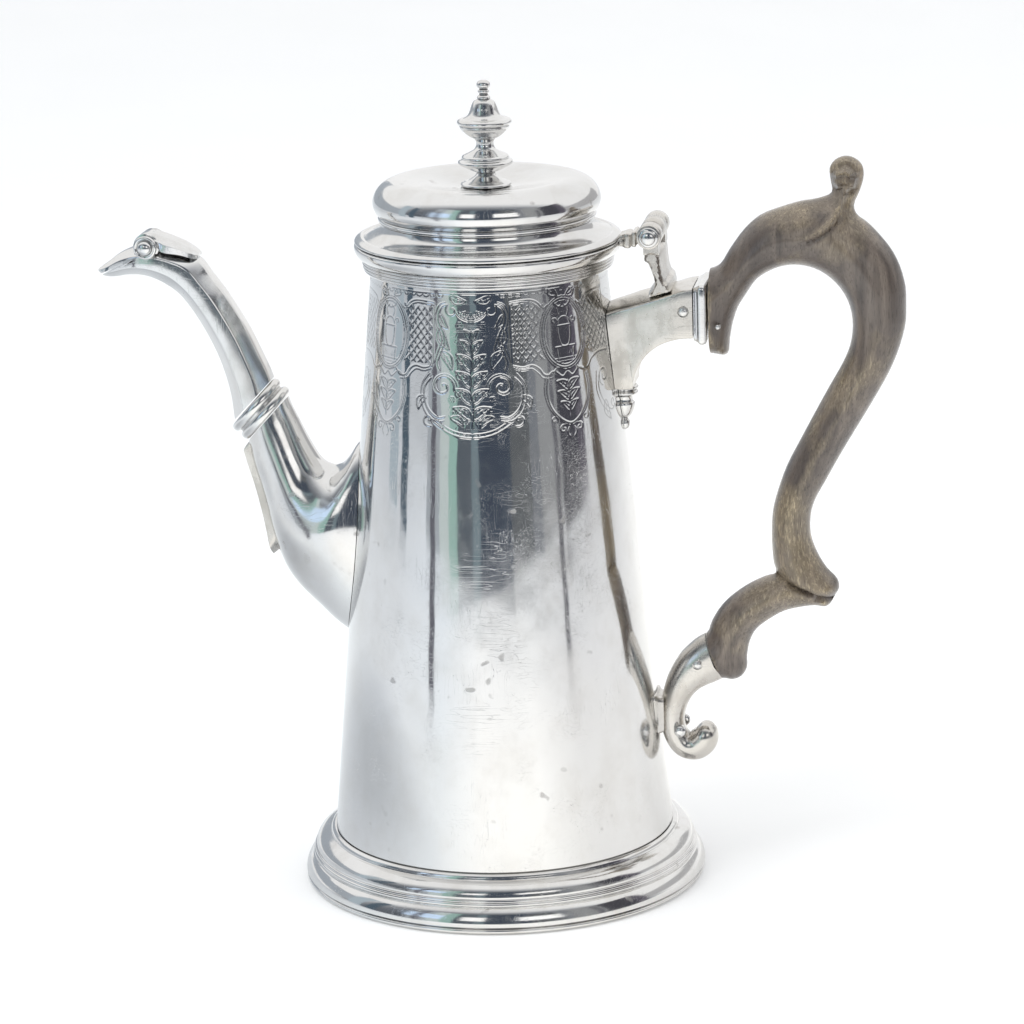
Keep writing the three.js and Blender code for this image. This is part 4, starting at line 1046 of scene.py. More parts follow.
# flap: a faceted tongue narrowing to a soft point, hung on its barrel
FTOP = [(-98.4, 191.55), (-96.4, 191.35), (-93.1, 190.1), (-88.8, 188.3), (-85.8, 186.6), (-84.3, 185.55)]
FBOT = [(-98.4, 189.3), (-96.2, 188.4), (-94.0, 187.95), (-89.0, 186.65), (-85.6, 185.15), (-84.4, 184.7)]
rings = []
for k, (a, b) in enumerate(zip(FTOP, FBOT)):
    w = (4.45, 5.2, 5.95, 5.6, 4.2, 2.4)[k]
    a, b = np.array(a), np.array(b)
    ring = []
    skirt = 1.0 if k < 2 else 1.62
    for y, t in ((-1, skirt), (-1, 0.72), (-0.97, 0.60), (-0.62, 0.12), (-0.52, 0.03), (-0.40, 0.0), (0.0, -0.03), (0.40, 0.0), (0.52, 0.03), (0.62, 0.12), (0.97, 0.60), (1, 0.72), (1, skirt), (0.5, 1.0), (0, 1.0), (-0.5, 1.0)):
        p = a + (b - a) * t
        ring.append((p[0], y * w, p[1]))
    rings.append(ring)
o = lofted("t", rings, 6)
union(o, rod_y("tool", FX, FZ, 3.8, -4.5, 4.5, 72, 0.15))
minus(o, rod_y("tool", FX, FZ, 0.96, -9, 9, 32))
surface_marks(o, 2, 0.4)
piece(o, "spout_flap", "flap", SILVER_PLAIN, angle=30)

# ------------------------------------------------------------------ upper handle socket
pairs = [
    ((33, 168.0), (33, 147.3), 7.0, 2.6),
    ((38, 169.8), (41.55, 147.3), 7.3, 2.6),
    ((39.8, 170.4), (41.95, 149.4), 7.5, 2.6),
    ((41.6, 171.0), (42.8, 152.4), 7.8, 2.6),
    ((43.8, 171.8), (44.3, 155.2), 8.2, 2.6),
    ((46.4, 172.7), (46.6, 158.0), 8.7, 2.4),
    ((49.8, 173.9), (50.0, 160.5), 9.3, 2.0),
    ((54.2, 175.5), (54.3, 162.1), 9.9, 1.1),
    ((57.0, 176.4), (56.8, 162.5), 10.0, 0.5),
    ((59.45, 176.85), (59.45, 162.6), 10.0, 0.1),
]
flat = np.array([[*a, *b, w, h] for a, b, w, h in pairs])
fine = catmull(flat, 6)
o = lofted("t", [block((r[0], r[1]), (r[2], r[3]), r[4], 0.55, r[5]) for r in fine])
minus(o, body_block(0.02))
for y0, y1 in ((-14, -9.72), (9.72, 14)):
    minus(o, rod_y("tool", 56.8, 170.4, 1.66, y0, y1, 40))
surface_marks(o, 2, 0.35)
piece(o, "upper_socket", "pot", SILVER_CAST, angle=42)
rings = []
for x, g in ((59.62, 1.5), (59.75, 0.95), (60.3, 0.75), (60.9, 0.45), (61.3, 0.12), (62.0, 0.0), (62.7, 0.1), (63.1, 0.35), (63.32, 0.9)):
    rings.append(block((x, 178.0 - g), (x, 160.7 + g), 10.7 - g, 1.3 + g * 0.2))
o = lofted("t", rings, 2)
surface_marks(o, 1, 0.4)
piece(o, "upper_socket_flange", "pot", SILVER_PLAIN, angle=42)
DROP = [
    (0, 147.1, 1), (3.5, 147.1, 1), (4.05, 146.75), (4.1, 146.3), (3.75, 145.85, 1), (3.55, 145.6, 1), (4.0, 145.2), (4.0, 144.7), (3.5, 144.2, 1), (2.8, 143.9), (2.45, 143.0), (2.5, 142.3, 1), (2.95, 141.9),
    (3.05, 141.1), (2.7, 139.6), (2.0, 138.2), (1.15, 137.3), (0.9, 136.95, 1), (1.35, 136.4), (1.5, 135.5), (1.3, 134.5), (0.7, 133.85), (0, 133.65, 1),
]
o = revolved("t", DROP, 72, 5, 0.06, 38.4, 0)
minus(o, body_block(0.02))
surface_marks(o, 1, 0.5)
piece(o, "upper_socket_drop", "pot", SILVER_PLAIN, angle=40)

# ------------------------------------------------------------------ lower handle socket: a tube curling into a scroll
SC = [  # centre x, z, in-plane half width, half width along Y
    (62.9, 66.05, 7.05, 5.9), (60.6, 64.6, 6.85, 5.95), (57.6, 62.4, 6.2, 5.9), (54.8, 59.4, 5.2, 5.7), (52.6, 55.6, 4.35, 5.5), (51.2, 51.0, 3.75, 5.3), (50.8, 46.2, 3.45, 5.1),
    (51.7, 42.0, 3.5, 5.0), (54.2, 39.0, 3.8, 5.0), (57.3, 38.7, 4.2, 5.2), (59.6, 40.4, 4.2, 5.4), (60.4, 42.6, 3.7, 5.2), (60.5, 44.3, 2.7, 4.4), (60.5, 45.4, 1.5, 2.9), (60.5, 45.8, 0.5, 1.2),
]
f = catmull(SC, 7)
tang = np.gradient(f[:, :2], axis=0)
tang /= np.linalg.norm(tang, axis=1, keepdims=True)
tang[0] = [-0.945, -0.327]
rings = []
for (x, z, a, w), (tx_, tz_) in zip(f, tang):
    nx, nz = -tz_, tx_
    rings.append(oval((x + nx * a, z + nz * a), (x - nx * a, z - nz * a), w, 56, 2.25))
o = lofted("t", rings)
surface_marks(o, 3, 0.3)
for y0, y1 in ((-9, -5.72), (5.72, 9)):
    minus(o, rod_y("tool", 58.8, 64.9, 1.5, y0, y1, 40))
piece(o, "lower_socket", "pot", SILVER_CAST, angle=45)
v1, p1 = revolve_arrays(corners([(0, -7.15, 1), (0.9, -7.0), (1.6, -6.4), (1.9, -5.4), (1.6, -4.6), (0.9, -4.4), (0, -4.4, 1)], 5, 0.05), 48)
v2, p2 = revolve_arrays(corners([(0, 4.4, 1), (0.9, 4.4), (1.6, 4.6), (1.9, 5.4), (1.6, 6.4), (0.9, 7.0), (0, 7.15, 1)], 5, 0.05), 48)
v = np.vstack([v1, v2])
o = mesh_of("t", np.stack([53.4 + v[:, 0], v[:, 2], 44.6 - v[:, 1]], 1), [tuple(int(i) for i in q) for q in p1] + [tuple(int(i) + len(v1) for i in q) for q in p2])
piece(o, "lower_socket_bead", "pot", SILVER_PLAIN)
rings = [block((x, z1), (x, z0), w, 1.2) for x, z1, z0, w in ((42.0, 55.2, 41.5, 6.6), (46.1, 55.2, 41.5, 6.6), (46.5, 54.9, 41.9, 6.4), (46.8, 54.4, 42.9, 5.9), (47.3, 54.2, 43.3, 5.4), (48.6, 54.0, 43.8, 4.9))]
o = lofted("t", rings)
minus(o, body_block(0.02))
surface_marks(o, 1, 0.4)
piece(o, "lower_socket_stub", "pot", SILVER_CAST, angle=40)

# ------------------------------------------------------------------ wood handle
WOOD_LINE = [
    (55.0, 180.4), (60.0, 180.7), (64.0, 181.0), (66.6, 182.3), (69.5, 186.8), (73.8, 192.6), (78.1, 196.3), (83.8, 198.6), (89.5, 200.3), (94.6, 201.2), (98.4, 202.9),
    (98.2, 206.3), (97.9, 209.7), (99.4, 212.1), (102.2, 213.2), (104.9, 212.6), (107.0, 210.6), (107.5, 207.7), (106.4, 203.5), (104.7, 199.2),
    (105.4, 196.6), (108.4, 194.2), (111.9, 190.6), (115.6, 185.7), (118.1, 180.0), (119.4, 173.4), (119.2, 166.1), (117.5, 158.9), (114.6, 151.6), (110.3, 143.7),
    (105.4, 135.4), (100.2, 126.6), (96.1, 119.1), (92.9, 113.2), (91.7, 108.7), (91.7, 102.8), (93.4, 97.7), (96.2, 92.9), (99.2, 89.6),
    (99.7, 87.2), (98.4, 84.8), (97.2, 82.6), (95.8, 81.7), (92.7, 82.0), (88.3, 81.4), (83.9, 80.2), (79.6, 77.7), (75.7, 74.6), (73.7, 70.9),
    (72.8, 66.4), (72.7, 62.8), (71.2, 60.3), (68.6, 59.2), (65.9, 59.5), (62.0, 58.0), (57.6, 56.6), (53.2, 70.6), (57.2, 71.8), (61.1, 73.0),
    (62.7, 76.8), (65.6, 81.4), (69.5, 85.1), (73.9, 88.1), (78.3, 90.2), (81.5, 91.5),
    (80.9, 94.6), (80.5, 99.0), (80.4, 104.1), (80.8, 110.1), (82.3, 116.0), (85.0, 123.5), (88.8, 130.9), (93.2, 139.2), (97.5, 147.1), (101.3, 153.9),
    (103.3, 158.8), (104.1, 164.6), (103.3, 170.4), (100.6, 175.6), (96.4, 179.6), (92.1, 181.6), (87.9, 182.2), (84.4, 181.8), (80.8, 180.5), (77.0, 178.0),
    (73.6, 173.2), (71.6, 170.0), (70.0, 165.4), (69.1, 160.7), (68.3, 156.2), (64.0, 156.5), (55.0, 157.0),
]
LEAF = catmull([(84.0, 186.6), (89.6, 189.3), (95.2, 191.6), (99.6, 195.0), (102.6, 200.0), (104.0, 204.6)], 10)
PART = catmull([(79.6, 92.8), (84.6, 90.1), (90.0, 87.6), (95.0, 85.2), (100.6, 83.7)], 10)
EDGE_IN = catmull([(66.0, 160.6), (68.6, 168.6), (74.0, 177.6), (81.0, 184.2), (88.0, 186.0)], 10)


def line_distance(line, P):
    best = np.full(len(P), 1e9)
    side = np.zeros(len(P))
    for a, b in zip(line[:-1], line[1:]):
        d = b - a
        t = np.clip(((P - a) @ d) / (d @ d), 0, 1)
        q = P - a - t[:, None] * d
        r = np.linalg.norm(q, axis=1)
        s = np.sign(d[0] * q[:, 1] - d[1] * q[:, 0])
        upd = r < best
        best = np.where(upd, r, best)
        side = np.where(upd, s, side)
    return best, side


def ease(x, a, b):
    t = np.clip((x - a) / (b - a), 0, 1)
    return t * t * (3 - 2 * t)


def wood_half(P):
    h = np.full(len(P), 9.15)
    h -= 2.5 * ease(P[:, 1], 194, 203) * ease(P[:, 0], 88, 98)
    h -= 1.5 * ease(-P[:, 1], -92, -64)
    return h


def wood_shape(P, h, d):
    dl, side = line_distance(LEAF, P)
    # the upper scroll lies over the lower leaf: a rounded step that fades into the handle
    along = ease(P[:, 0], 84, 96)
    h = h + along * (0.9 * np.exp(-(((dl - 0.9) / 0.9) ** 2)) * (side > 0) - 0.9 * np.exp(-((dl / 0.55) ** 2)))
    dp, side = line_distance(PART, P)
    h = h - 2.1 * np.exp(-((dp / 0.62) ** 2)) - 0.9 * np.exp(-((dp / 1.9) ** 2))
    r = np.hypot(P[:, 0] - 102.4, P[:, 1] - 207.0)
    h = h + 0.9 * np.exp(-(((r - 2.7) / 0.75) ** 2)) - 1.1 * np.exp(-(((r - 3.9) / 0.6) ** 2)) - 0.5 * np.exp(-(((r - 1.5) / 0.5) ** 2)) + 0.8 * np.exp(-((r / 0.9) ** 2))
    # slight knife and wear unevenness
    h = h + 0.10 * np.sin(P[:, 0] * 0.41 + 0.3 * np.sin(P[:, 1] * 0.23)) * np.sin(P[:, 1] * 0.29 + 1.0)
    return h


outline = catmull_closed(WOOD_LINE, 3)
outline[:, 0] = np.minimum(outline[:, 0], 119.28)
o = inflated("t", outline, wood_half, 10.2, 2.0, 0.75, wood_shape)
P, Q = np.array([61.1, 73.0]), np.array([65.9, 59.5])
ED = (Q - P) / np.linalg.norm(Q - P)
EN = np.array([-ED[1], ED[0]])
low_cut = prism("tool", [P - ED * 12, Q + ED * 12, Q + ED * 12 - EN * 16, P - ED * 12 - EN * 16], -20, 20)
minus(o, prism("tool", [(40, 150), (63.75, 150), (63.75, 190), (40, 190)], -20, 20), low_cut)
surface_marks(o, 3, 1.1)
piece(o, "wood_handle", "pot", WOOD, angle=38)
for nd, x, z, r, y, mat, slot_ in (("upper_pin", 56.8, 170.4, 1.35, 10.25, STEEL_PIN, "polished_silver"), ("lower_pin", 58.8, 64.9, 1.2, 6.25, STEEL_PIN, "polished_silver"), ("handle_dowel", 66.5, 165.8, 0.75, 9.22, STEEL_PIN, "steel_pin")):
    prof = [(0, -y - 0.34, 1), (r * 0.55, -y - 0.25), (r * 0.9, -y, 1), (r, -y + 0.25, 1), (r, y - 0.25, 1), (r * 0.9, y, 1), (r * 0.55, y + 0.25), (0, y + 0.34, 1)]
    o = turned_y("t", prof, x, z, 40, 3, 0.06)
    piece(o, nd, "pot", mat)

# ------------------------------------------------------------------ lid hinge
HX, HZ = 47.6, 192.1
scroll = [(48.3 + 2.65 * math.cos(a), 185.75 + 2.65 * math.sin(a)) for a in np.linspace(0.0, math.pi * 1.12, 16)]
STRUT = scroll + [(46.9, 184.2), (47.4, 183.0), (48.3, 180.4), (48.6, 178.6), (48.2, 177.4), (47.6, 176.6), (46.8, 175.6), (46.5, 173.9), (53.6, 175.9), (53.0, 178.3), (51.9, 179.4), (51.4, 181.2), (51.1, 183.6)]
o = inflated("t", resample(np.array(STRUT), 0.35), 11.8, 0.9, 2.0, 0.6, None, (0.06, 0.25, 0.6, 1.1, 2.0))
for y0, y1 in ((-12.0, -5.45), (5.45, 12.0)):
    prof = [(0, y0, 1), (3.35, y0, 1), (3.5, y0 + 0.4), (3.5, y0 + 0.9, 1), (3.25, y0 + 1.15, 1), (3.25, y0 + 1.5, 1), (3.5, y0 + 1.75, 1), (3.5, y1 - 0.5), (3.35, y1, 1), (0, y1, 1)]
    union(o, turned_y("tool", prof, HX, HZ, 72, 2, 0.08))
    a, b = y0 + 0.7, y1 - 0.0
    union(o, lofted("tool", [block((x, z1), (x, z0), (b - a) / 2, 0.3) + np.array([0, (a + b) / 2, 0]) for x, z1, z0 in ((46.0, 191.4, 186.9), (50.3, 191.4, 186.9))]))
minus(o, rod_y("tool", HX, HZ, 1.16, -15, 15, 32))
sock_tool = lofted("tool", [block((r[0], r[1] + 0.02), (r[2], r[3]), r[4], 0.55, r[5]) for r in fine])
minus(o, sock_tool)
surface_marks(o, 2, 0.4)
piece(o, "hinge_bracket", "pot", SILVER_CAST, angle=38)
o = rod_y("t", HX, HZ, 1.1, -11.95, 11.95, 32)
piece(o, "hinge_pin", "pot", STEEL_PIN)
for flip, tag in ((True, "near"), (False, "far")):
    prof = [(0, 12.08, 1), (2.75, 12.08, 1), (2.9, 12.35), (2.75, 12.7), (2.35, 12.95, 1), (2.1, 13.0, 1), (1.9, 13.45), (1.2, 13.85), (0, 14.0, 1)]
    o = turned_y("t", prof, HX, HZ, 64, 5, 0.06, flip)
    surface_marks(o, 1, 0.5)
    piece(o, "hinge_cap_" + tag, "pot", SILVER_PLAIN)

# ------------------------------------------------------------------ lid
DOME = [
    (1.45, 204.9, 1), (8, 205.0), (14, 205.8), (20, 206.8), (24.2, 207.3), (27.4, 207.0), (29.9, 205.9), (31.6, 204.1), (32.5, 202.0), (32.6, 200.4), (32.1, 198.8), (31.1, 197.35, 1),
    (29.8, 197.3, 1), (30.9, 198.9), (31.5, 200.6), (31.4, 201.8), (30.6, 203.6), (29.2, 205.0), (27.0, 205.95), (24.2, 206.2), (20, 205.7), (14, 204.7), (8, 203.9), (1.45, 203.8, 1),
]
o = revolved("t", DOME, 320, 8, 0.08)
surface_marks(o, 1, 0.5)
piece(o, "lid_dome", "lid", SILVER_PLAIN)
o = revolved("t", [(29.6, 197.2, 1), (30.75, 197.2, 1), (31.2, 196.85), (31.25, 196.3), (30.9, 195.7), (30.3, 195.35, 1), (29.6, 195.35, 1)], 320, 5, 0.06)
surface_marks(o, 1, 0.6)
piece(o, "lid_bead", "lid", SILVER_PLAIN)
FLANGE = [
    (29.4, 195.25, 1), (30.3, 195.25, 1), (30.55, 194.4), (31.1, 193.5), (32.2, 192.6), (33.9, 191.8), (35.6, 191.35, 1), (35.9, 191.5, 1), (36.4, 191.45), (37.4, 191.05), (38.0, 190.6), (38.25, 190.1), (38.0, 189.62, 1),
    (32.4, 189.6, 1), (31.2, 190.6), (29.9, 192.4), (29.4, 193.6, 1),
]
o = revolved("t", FLANGE, 320, 6, 0.07)
surface_marks(o, 1, 0.5)
piece(o, "lid_flange", "lid", SILVER_PLAIN)
o = revolved("t", [(30.7, 184.6, 1), (31.4, 184.6, 1), (31.5, 185.2), (31.5, 189.45, 1), (30.7, 189.45, 1)], 256, 3, 0.1)
piece(o, "lid_bezel", "lid", SILVER_PLAIN)
lug = [  # x, top z, bottom z, half width
    (38.35, 191.2, 187.9, 3.6), (39.2, 191.3, 187.8, 3.7), (39.9, 191.6, 187.5, 4.1), (40.9, 191.7, 187.4, 4.2), (41.4, 191.5, 187.6, 4.0), (41.7, 191.5, 188.0, 3.8), (42.1, 192.1, 187.9, 4.45), (42.9, 192.3, 187.9, 4.55), (43.4, 192.0, 188.6, 4.2), (45.6, 192.4, 189.8, 4.4),
]
o = lofted("t", [block((x, a), (x, b), w, 0.6) for x, a, b, w in lug], 4)
union(o, rod_y("tool", HX, HZ, 3.5, -5.2, 5.2, 72, 0.2))
minus(o, rod_y("tool", HX, HZ, 1.16, -15, 15, 32))
surface_marks(o, 2, 0.4)
piece(o, "lid_lug", "lid", SILVER_CAST, angle=35)
FIN = [
    (0, 202.2, 1), (1.3, 202.2, 1), (1.3, 205.1, 1), (7.0, 205.1, 1), (7.3, 205.45), (7.0, 205.95), (6.2, 206.3, 1), (6.0, 206.45, 1), (4.6, 206.9), (3.2, 207.8), (2.6, 208.7, 1), (2.75, 208.95, 1), (4.4, 209.5), (6.2, 210.5), (7.5, 211.2),
    (7.9, 211.75), (7.6, 212.3), (6.9, 212.6, 1), (6.7, 212.8, 1), (6.75, 213.35), (6.2, 213.95, 1), (5.6, 214.15, 1), (4.2, 214.8), (3.1, 215.5), (2.55, 216.6), (2.6, 217.7), (3.1, 218.5, 1), (3.4, 218.6, 1), (4.8, 219.4), (6.1, 220.5), (6.9, 221.4),
    (7.15, 222.1, 1), (7.0, 222.35, 1), (7.65, 222.8), (7.8, 223.4), (7.4, 224.0), (6.4, 224.35, 1), (6.0, 224.4, 1), (4.8, 225.1), (4.1, 226.4), (3.6, 227.9), (2.9, 229.2), (1.9, 229.75, 1), (1.75, 229.85, 1), (1.95, 230.2), (1.6, 230.75),
    (1.25, 230.95, 1), (1.2, 231.3, 1), (1.6, 231.7), (1.6, 232.2), (1.15, 232.5, 1), (1.15, 232.65, 1), (1.7, 233.1), (1.95, 233.8), (1.7, 234.6), (1.0, 235.1), (0, 235.2, 1),
]
o = revolved("t", FIN, 128, 4, 0.06)
surface_marks(o, 1, 0.45)
piece(o, "finial", "lid", SILVER_PLAIN)
o = revolved("t", [(1.4, 202.1, 1), (2.0, 201.5, 1), (3.2, 201.8, 1), (3.2, 203.5, 1), (1.4, 203.5, 1)], 6, 1, 0.05)
piece(o, "finial_nut", "lid", SILVER_CAST)

# ------------------------------------------------------------------ studio
def flat_material(name, colour, rough=0.6, emit=0.0):
    m, nt, bsdf = new_material(name)
    n = nt.nodes.new("ShaderNodeTexNoise")
    n.inputs["Scale"].default_value = 9.0
    c = nt.nodes.new("ShaderNodeTexCoord")
    nt.links.new(c.outputs["Object"], n.inputs["Vector"])
    r = ramp(nt, n.outputs["Fac"], [(0.3, tuple(x * 0.985 for x in colour)), (0.7, colour)])
    nt.links.new(r, bsdf.inputs["Base Color"])
    bsdf.inputs["Roughness"].default_value = rough
    if emit:
        bsdf.inputs["Emission Color"].default_value = (*colour, 1)
        bsdf.inputs["Emission Strength"].default_value = emit
    return m


PHI, ROLL = math.radians(9.0), -0.0284770
TURN = np.array([[math.cos(PHI), -math.sin(PHI), 0], [math.sin(PHI), math.cos(PHI), 0], [0, 0, 1]])


def panel(name, az0, az1, low, high, dist, colour, bright=1.0):
    """Standing reflector panel round the pot: azimuths in degrees from the front, heights and distance in metres. It shows in the silver and stays out of the picture."""
    n = max(2, int(abs(az1 - az0) / 6) + 1)
    verts, faces = [], []
    for a in np.radians(np.linspace(az0, az1, n)):
        p = TURN @ np.array([math.sin(a) * dist, -math.cos(a) * dist, 0])
        verts += [(p[0], p[1], low), (p[0], p[1], high)]
    for k in range(n - 1):
        faces.append((2 * k, 2 * k + 2, 2 * k + 3, 2 * k + 1))
    mesh = bpy.data.meshes.new(name)
    mesh.from_pydata(verts, [], faces)
    o = bpy.data.objects.new(name, mesh)
    bpy.context.scene.collection.objects.link(o)
    m, nt, bsdf = new_material(name + "_m")
    bsdf.inputs["Base Color"].default_value = (0, 0, 0, 1)
    bsdf.inputs["Specular IOR Level"].default_value = 0.0
    bsdf.inputs["Roughness"].default_value = 1.0
    bsdf.inputs["Emission Color"].default_value = (*colour, 1)
    bsdf.inputs["Emission Strength"].default_value = bright
    m.cycles.emission_sampling = "NONE"
    mesh.materials.append(m)
    o.visible_camera = o.visible_diffuse = o.visible_shadow = False
    return o


# dim front wall of the studio, with brighter strips and three tall windows
for k, (a0, a1, lo_, hi_, dist, col, br) in enumerate([
    (-31, -19, 0.0, 1.25, 1.15, (0.115, 0.135, 0.160), 1.0),
    (-38, -31, 0.0, 1.25, 1.15, (0.36, 0.55, 0.50), 1.0),
    (-46, -38, 0.0, 1.25, 1.15, (0.62, 0.70, 0.70), 1.0),
    (-58, -46, 0.0, 1.25, 1.15, (0.44, 0.48, 0.52), 1.0),
    (-19, -13, 0.0, 1.25, 1.14, (0.20, 0.26, 0.29), 1.0),
    (-13, 13, 0.0, 1.25, 1.15, (0.062, 0.078, 0.108), 1.0),
    (13, 30, 0.0, 1.25, 1.28, (0.130, 0.140, 0.150), 1.0),
    (30, 38, 0.0, 1.25, 1.30, (0.22, 0.235, 0.26), 1.0),
    (38, 57, 0.0, 1.25, 1.30, (0.33, 0.34, 0.35), 1.0),
    (57, 76, 0.0, 0.95, 1.12, (0.070, 0.070, 0.085), 1.0),
    (76, 84, 0.0, 0.95, 1.12, (0.12, 0.11, 0.14), 1.0),
    (-84, -77, 0.0, 0.80, 0.98, (0.09, 0.13, 0.17), 1.0),
    (-98, -88, 0.0, 0.80, 0.98, (0.46, 0.54, 0.60), 1.0),
    (-53.2, -49.0, 0.0, 0.50, 0.52, (0.15, 0.15, 0.18), 1.0),
    (50.0, 53.8, 0.0, 0.50, 0.66, (0.15, 0.15, 0.17), 1.0),
    (-60, -38, 0.28, 0.72, 1.10, (0.62, 0.78, 1.0), 1.25),
    (-27, -13, 0.30, 0.72, 1.10, (1.0, 1.0, 1.0), 1.3),
    (6, 31, 0.30, 0.72, 1.10, (1.0, 1.0, 1.0), 1.3),
    (-172, -98, 0.10, 0.60, 1.45, (0.42, 0.46, 0.51), 1.0),
    (84, 150, 0.16, 0.60, 1.45, (0.50, 0.50, 0.51), 1.0),
]):
    panel("panel_%02d" % k, a0, a1, lo_, hi_, dist, col, br)

floor_mesh = bpy.data.meshes.new("floor")
s = 6.0
floor_mesh.from_pydata([(-s, -s, 0), (s, -s, 0), (s, s, 0), (-s, s, 0)], [], [(0, 1, 2, 3)])
floor = bpy.data.objects.new("floor", floor_mesh)
bpy.context.scene.collection.objects.link(floor)
floor_mesh.materials.append(flat_material("pale_floor", (0.925, 0.93, 0.935), 0.55, 0.11))
floor.location.z = -0.0004
floor.visible_glossy = False
sheet_mesh = bpy.data.meshes.new("floor_sheet")
sheet_mesh.from_pydata([(-s, -s, 0), (s, -s, 0), (s, s, 0), (-s, s, 0)], [], [(0, 1, 2, 3)])
sheet = bpy.data.objects.new("floor_sheet", sheet_mesh)
bpy.context.scene.collection.objects.link(sheet)
m, nt, bsdf = new_material("floor_sheet_m")
co = nt.nodes.new("ShaderNodeTexCoord")
ln = nt.nodes.new("ShaderNodeVectorMath")
ln.operation = "LENGTH"
nt.links.new(co.outputs["Object"], ln.inputs[0])
# painted light: this floor sheet, seen only in the silver, is painted brighter close to the pot and greyer farther out,
# and it glows with these painted colours
near = ramp(nt, ln.outputs["Value"], [(0.05, (0.99, 0.985, 0.965)), (0.25, (0.98, 0.975, 0.955)), (0.60, (0.90, 0.90, 0.895)), (1.0, (0.78, 0.79, 0.80))])
# painted light: the sheet is also painted greyer towards both sides along X, most towards -X where the spout is
sp = nt.nodes.new("ShaderNodeSeparateXYZ")
nt.links.new(co.outputs["Object"], sp.inputs[0])
rel = math_node(nt, "DIVIDE", sp.outputs["X"], math_node(nt, "ADD", ln.outputs["Value"], 0.001))
side = ramp(nt, math_node(nt, "ADD", math_node(nt, "MULTIPLY", rel, 0.5), 0.5), [(0.0, (0.70, 0.725, 0.76)), (0.22, (0.82, 0.86, 0.90)), (0.45, (1.0, 1.0, 1.0)), (0.75, (1.0, 1.0, 1.0)), (0.95, (0.80, 0.80, 0.81))])
painted_floor_light = mix_color(nt, 1.0, near, side, "MULTIPLY")
# painted shadow: a greyer patch on this floor sheet under the spout, so that its underside stands off the pale ground
off = nt.nodes.new("ShaderNodeVectorMath")
off.operation = "DISTANCE"
nt.links.new(co.outputs["Object"], off.inputs[0])
off.inputs[1].default_value = (-0.25, -0.02, 0.0)
shade = ramp(nt, off.outputs["Value"], [(0.05, (0.62, 0.63, 0.65)), (0.12, (0.76, 0.77, 0.79)), (0.22, (1.0, 1.0, 1.0))])
painted_floor_light = mix_color(nt, 1.0, painted_floor_light, shade, "MULTIPLY")
nt.links.new(painted_floor_light, bsdf.inputs["Base Color"])
nt.links.new(painted_floor_light, bsdf.inputs["Emission Color"])
bsdf.inputs["Emission Strength"].default_value = 0.16
m.cycles.emission_sampling = "NONE"
bsdf.inputs["Roughness"].default_value = 0.9
bsdf.inputs["Specular IOR Level"].default_value = 0.0
sheet_mesh.materials.append(m)
sheet.location.z = -0.0003
sheet.visible_camera = sheet.visible_diffuse = sheet.visible_shadow = False

world = bpy.data.worlds.new("studio")
bpy.context.scene.world = world
world.use_nodes = True
wt = world.node_tree
bg = wt.nodes["Background"]
bg.inputs["Color"].default_value = (0.985, 0.993, 1.0, 1)
bg.inputs["Strength"].default_value = 0.90
# the silver sees a room that is dim at eye level and bright overhead
dim = wt.nodes.new("ShaderNodeBackground")
way = wt.nodes.new("ShaderNodeTexCoord")
part = wt.nodes.new("ShaderNodeSeparateXYZ")
wt.links.new(way.outputs["Generated"], part.inputs[0])
lean = math_node(wt, "ADD", math_node(wt, "MULTIPLY", part.outputs["Y"], 0.80), math_node(wt, "MULTIPLY", part.outputs["Z"], 0.60))
sky = ramp(wt, math_node(wt, "ADD", math_node(wt, "MULTIPLY", lean, 0.5), 0.5), [(0.30, (0.11, 0.125, 0.15)), (0.46, (0.17, 0.185, 0.21)), (0.54, (0.34, 0.355, 0.38)), (0.62, (0.72, 0.735, 0.755)), (0.68, (1.0, 1.0, 1.0))])
wt.links.new(sky, dim.inputs["Color"])
path = wt.nodes.new("ShaderNodeLightPath")
both_ = wt.nodes.new("ShaderNodeMixShader")
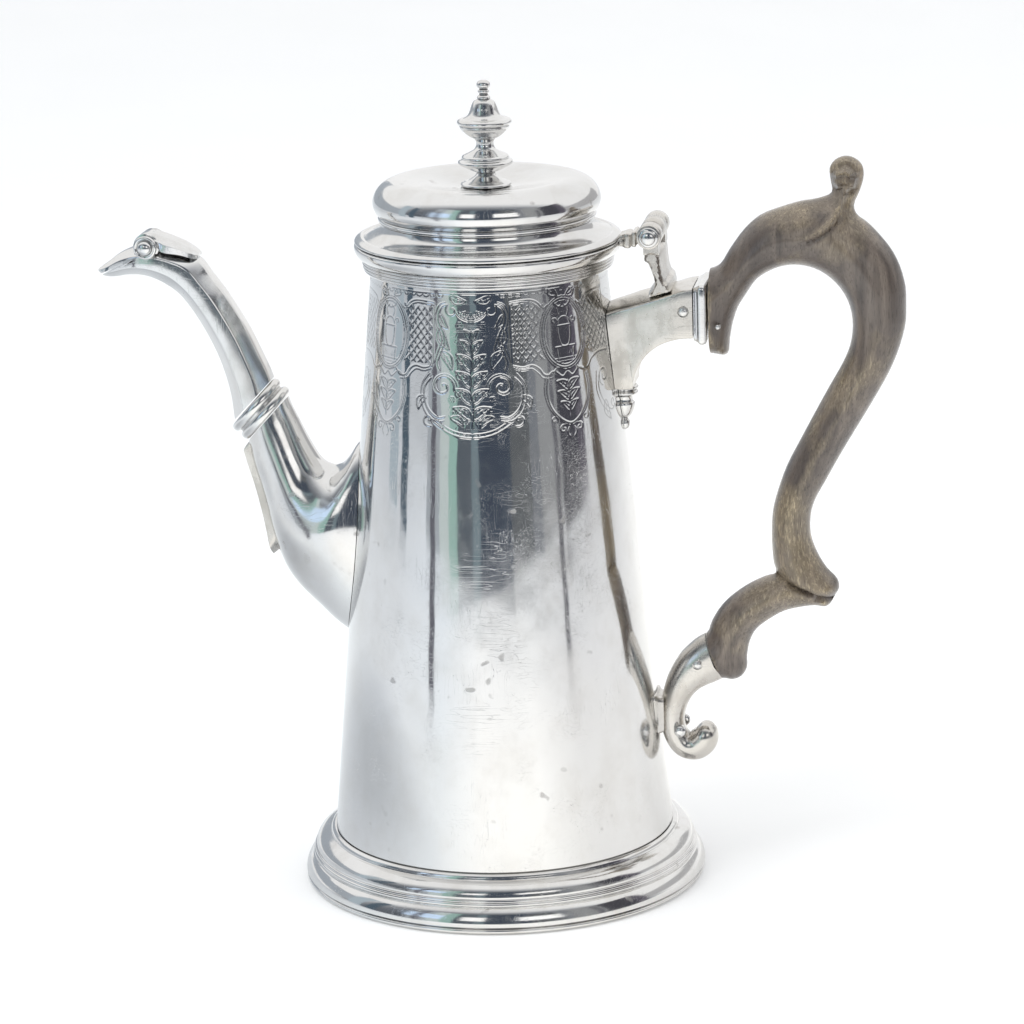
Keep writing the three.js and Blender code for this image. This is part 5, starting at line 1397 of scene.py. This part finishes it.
wt.links.new(path.outputs["Is Glossy Ray"], both_.inputs[0])
wt.links.new(bg.outputs[0], both_.inputs[1])
wt.links.new(dim.outputs[0], both_.inputs[2])
wt.links.new(both_.outputs[0], wt.nodes["World Output"].inputs["Surface"])


def softbox(name, loc, target, size, power, colour=(1, 1, 1)):
    l = bpy.data.lights.new(name, "AREA")
    l.shape, l.size, l.size_y, l.energy, l.color = "RECTANGLE", size[0], size[1], power, colour
    o = bpy.data.objects.new(name, l)
    bpy.context.scene.collection.objects.link(o)
    o.location = loc
    d = Vector(target) - Vector(loc)
    o.rotation_mode = "QUATERNION"
    o.rotation_quaternion = d.to_track_quat("-Z", "Y")
    return o


def unseen(o):
    o.visible_glossy = False


unseen(softbox("key", (-0.9, -0.9, 1.3), (0, 0, 0.12), (0.9, 0.9), 8.5))
unseen(softbox("fill", (1.1, -0.6, 0.9), (0, 0, 0.12), (0.8, 0.8), 1.6))
unseen(softbox("top", (0.0, 0.2, 1.5), (0, 0, 0.12), (1.2, 1.0), 1.8))

# ------------------------------------------------------------------ camera
cam_data = bpy.data.cameras.new("camera")
cam = bpy.data.objects.new("camera", cam_data)
bpy.context.scene.collection.objects.link(cam)
bpy.context.scene.camera = cam
cam_data.sensor_width = 36.0
cam_data.lens = 4095.15 / 1024 * 36.0
C = np.array([0, -1153.25, 410.03])
T = np.array([4.688, 0, 108.477])
fw = (T - C) / np.linalg.norm(T - C)
rt = np.cross(fw, [0, 0, 1])
rt /= np.linalg.norm(rt)
up = np.cross(rt, fw)
right = math.cos(ROLL) * rt + math.sin(ROLL) * up
upward = -math.sin(ROLL) * rt + math.cos(ROLL) * up
place = (TURN @ C + np.array([AX, 0, 0])) / 1000
cols = [TURN @ right, TURN @ upward, -(TURN @ fw)]
cam.matrix_world = Matrix([[cols[0][k], cols[1][k], cols[2][k], place[k]] for k in range(3)] + [[0, 0, 0, 1]])
bpy.context.scene.view_settings.view_transform = "Standard"
cam_data.clip_start, cam_data.clip_end = 0.1, 20
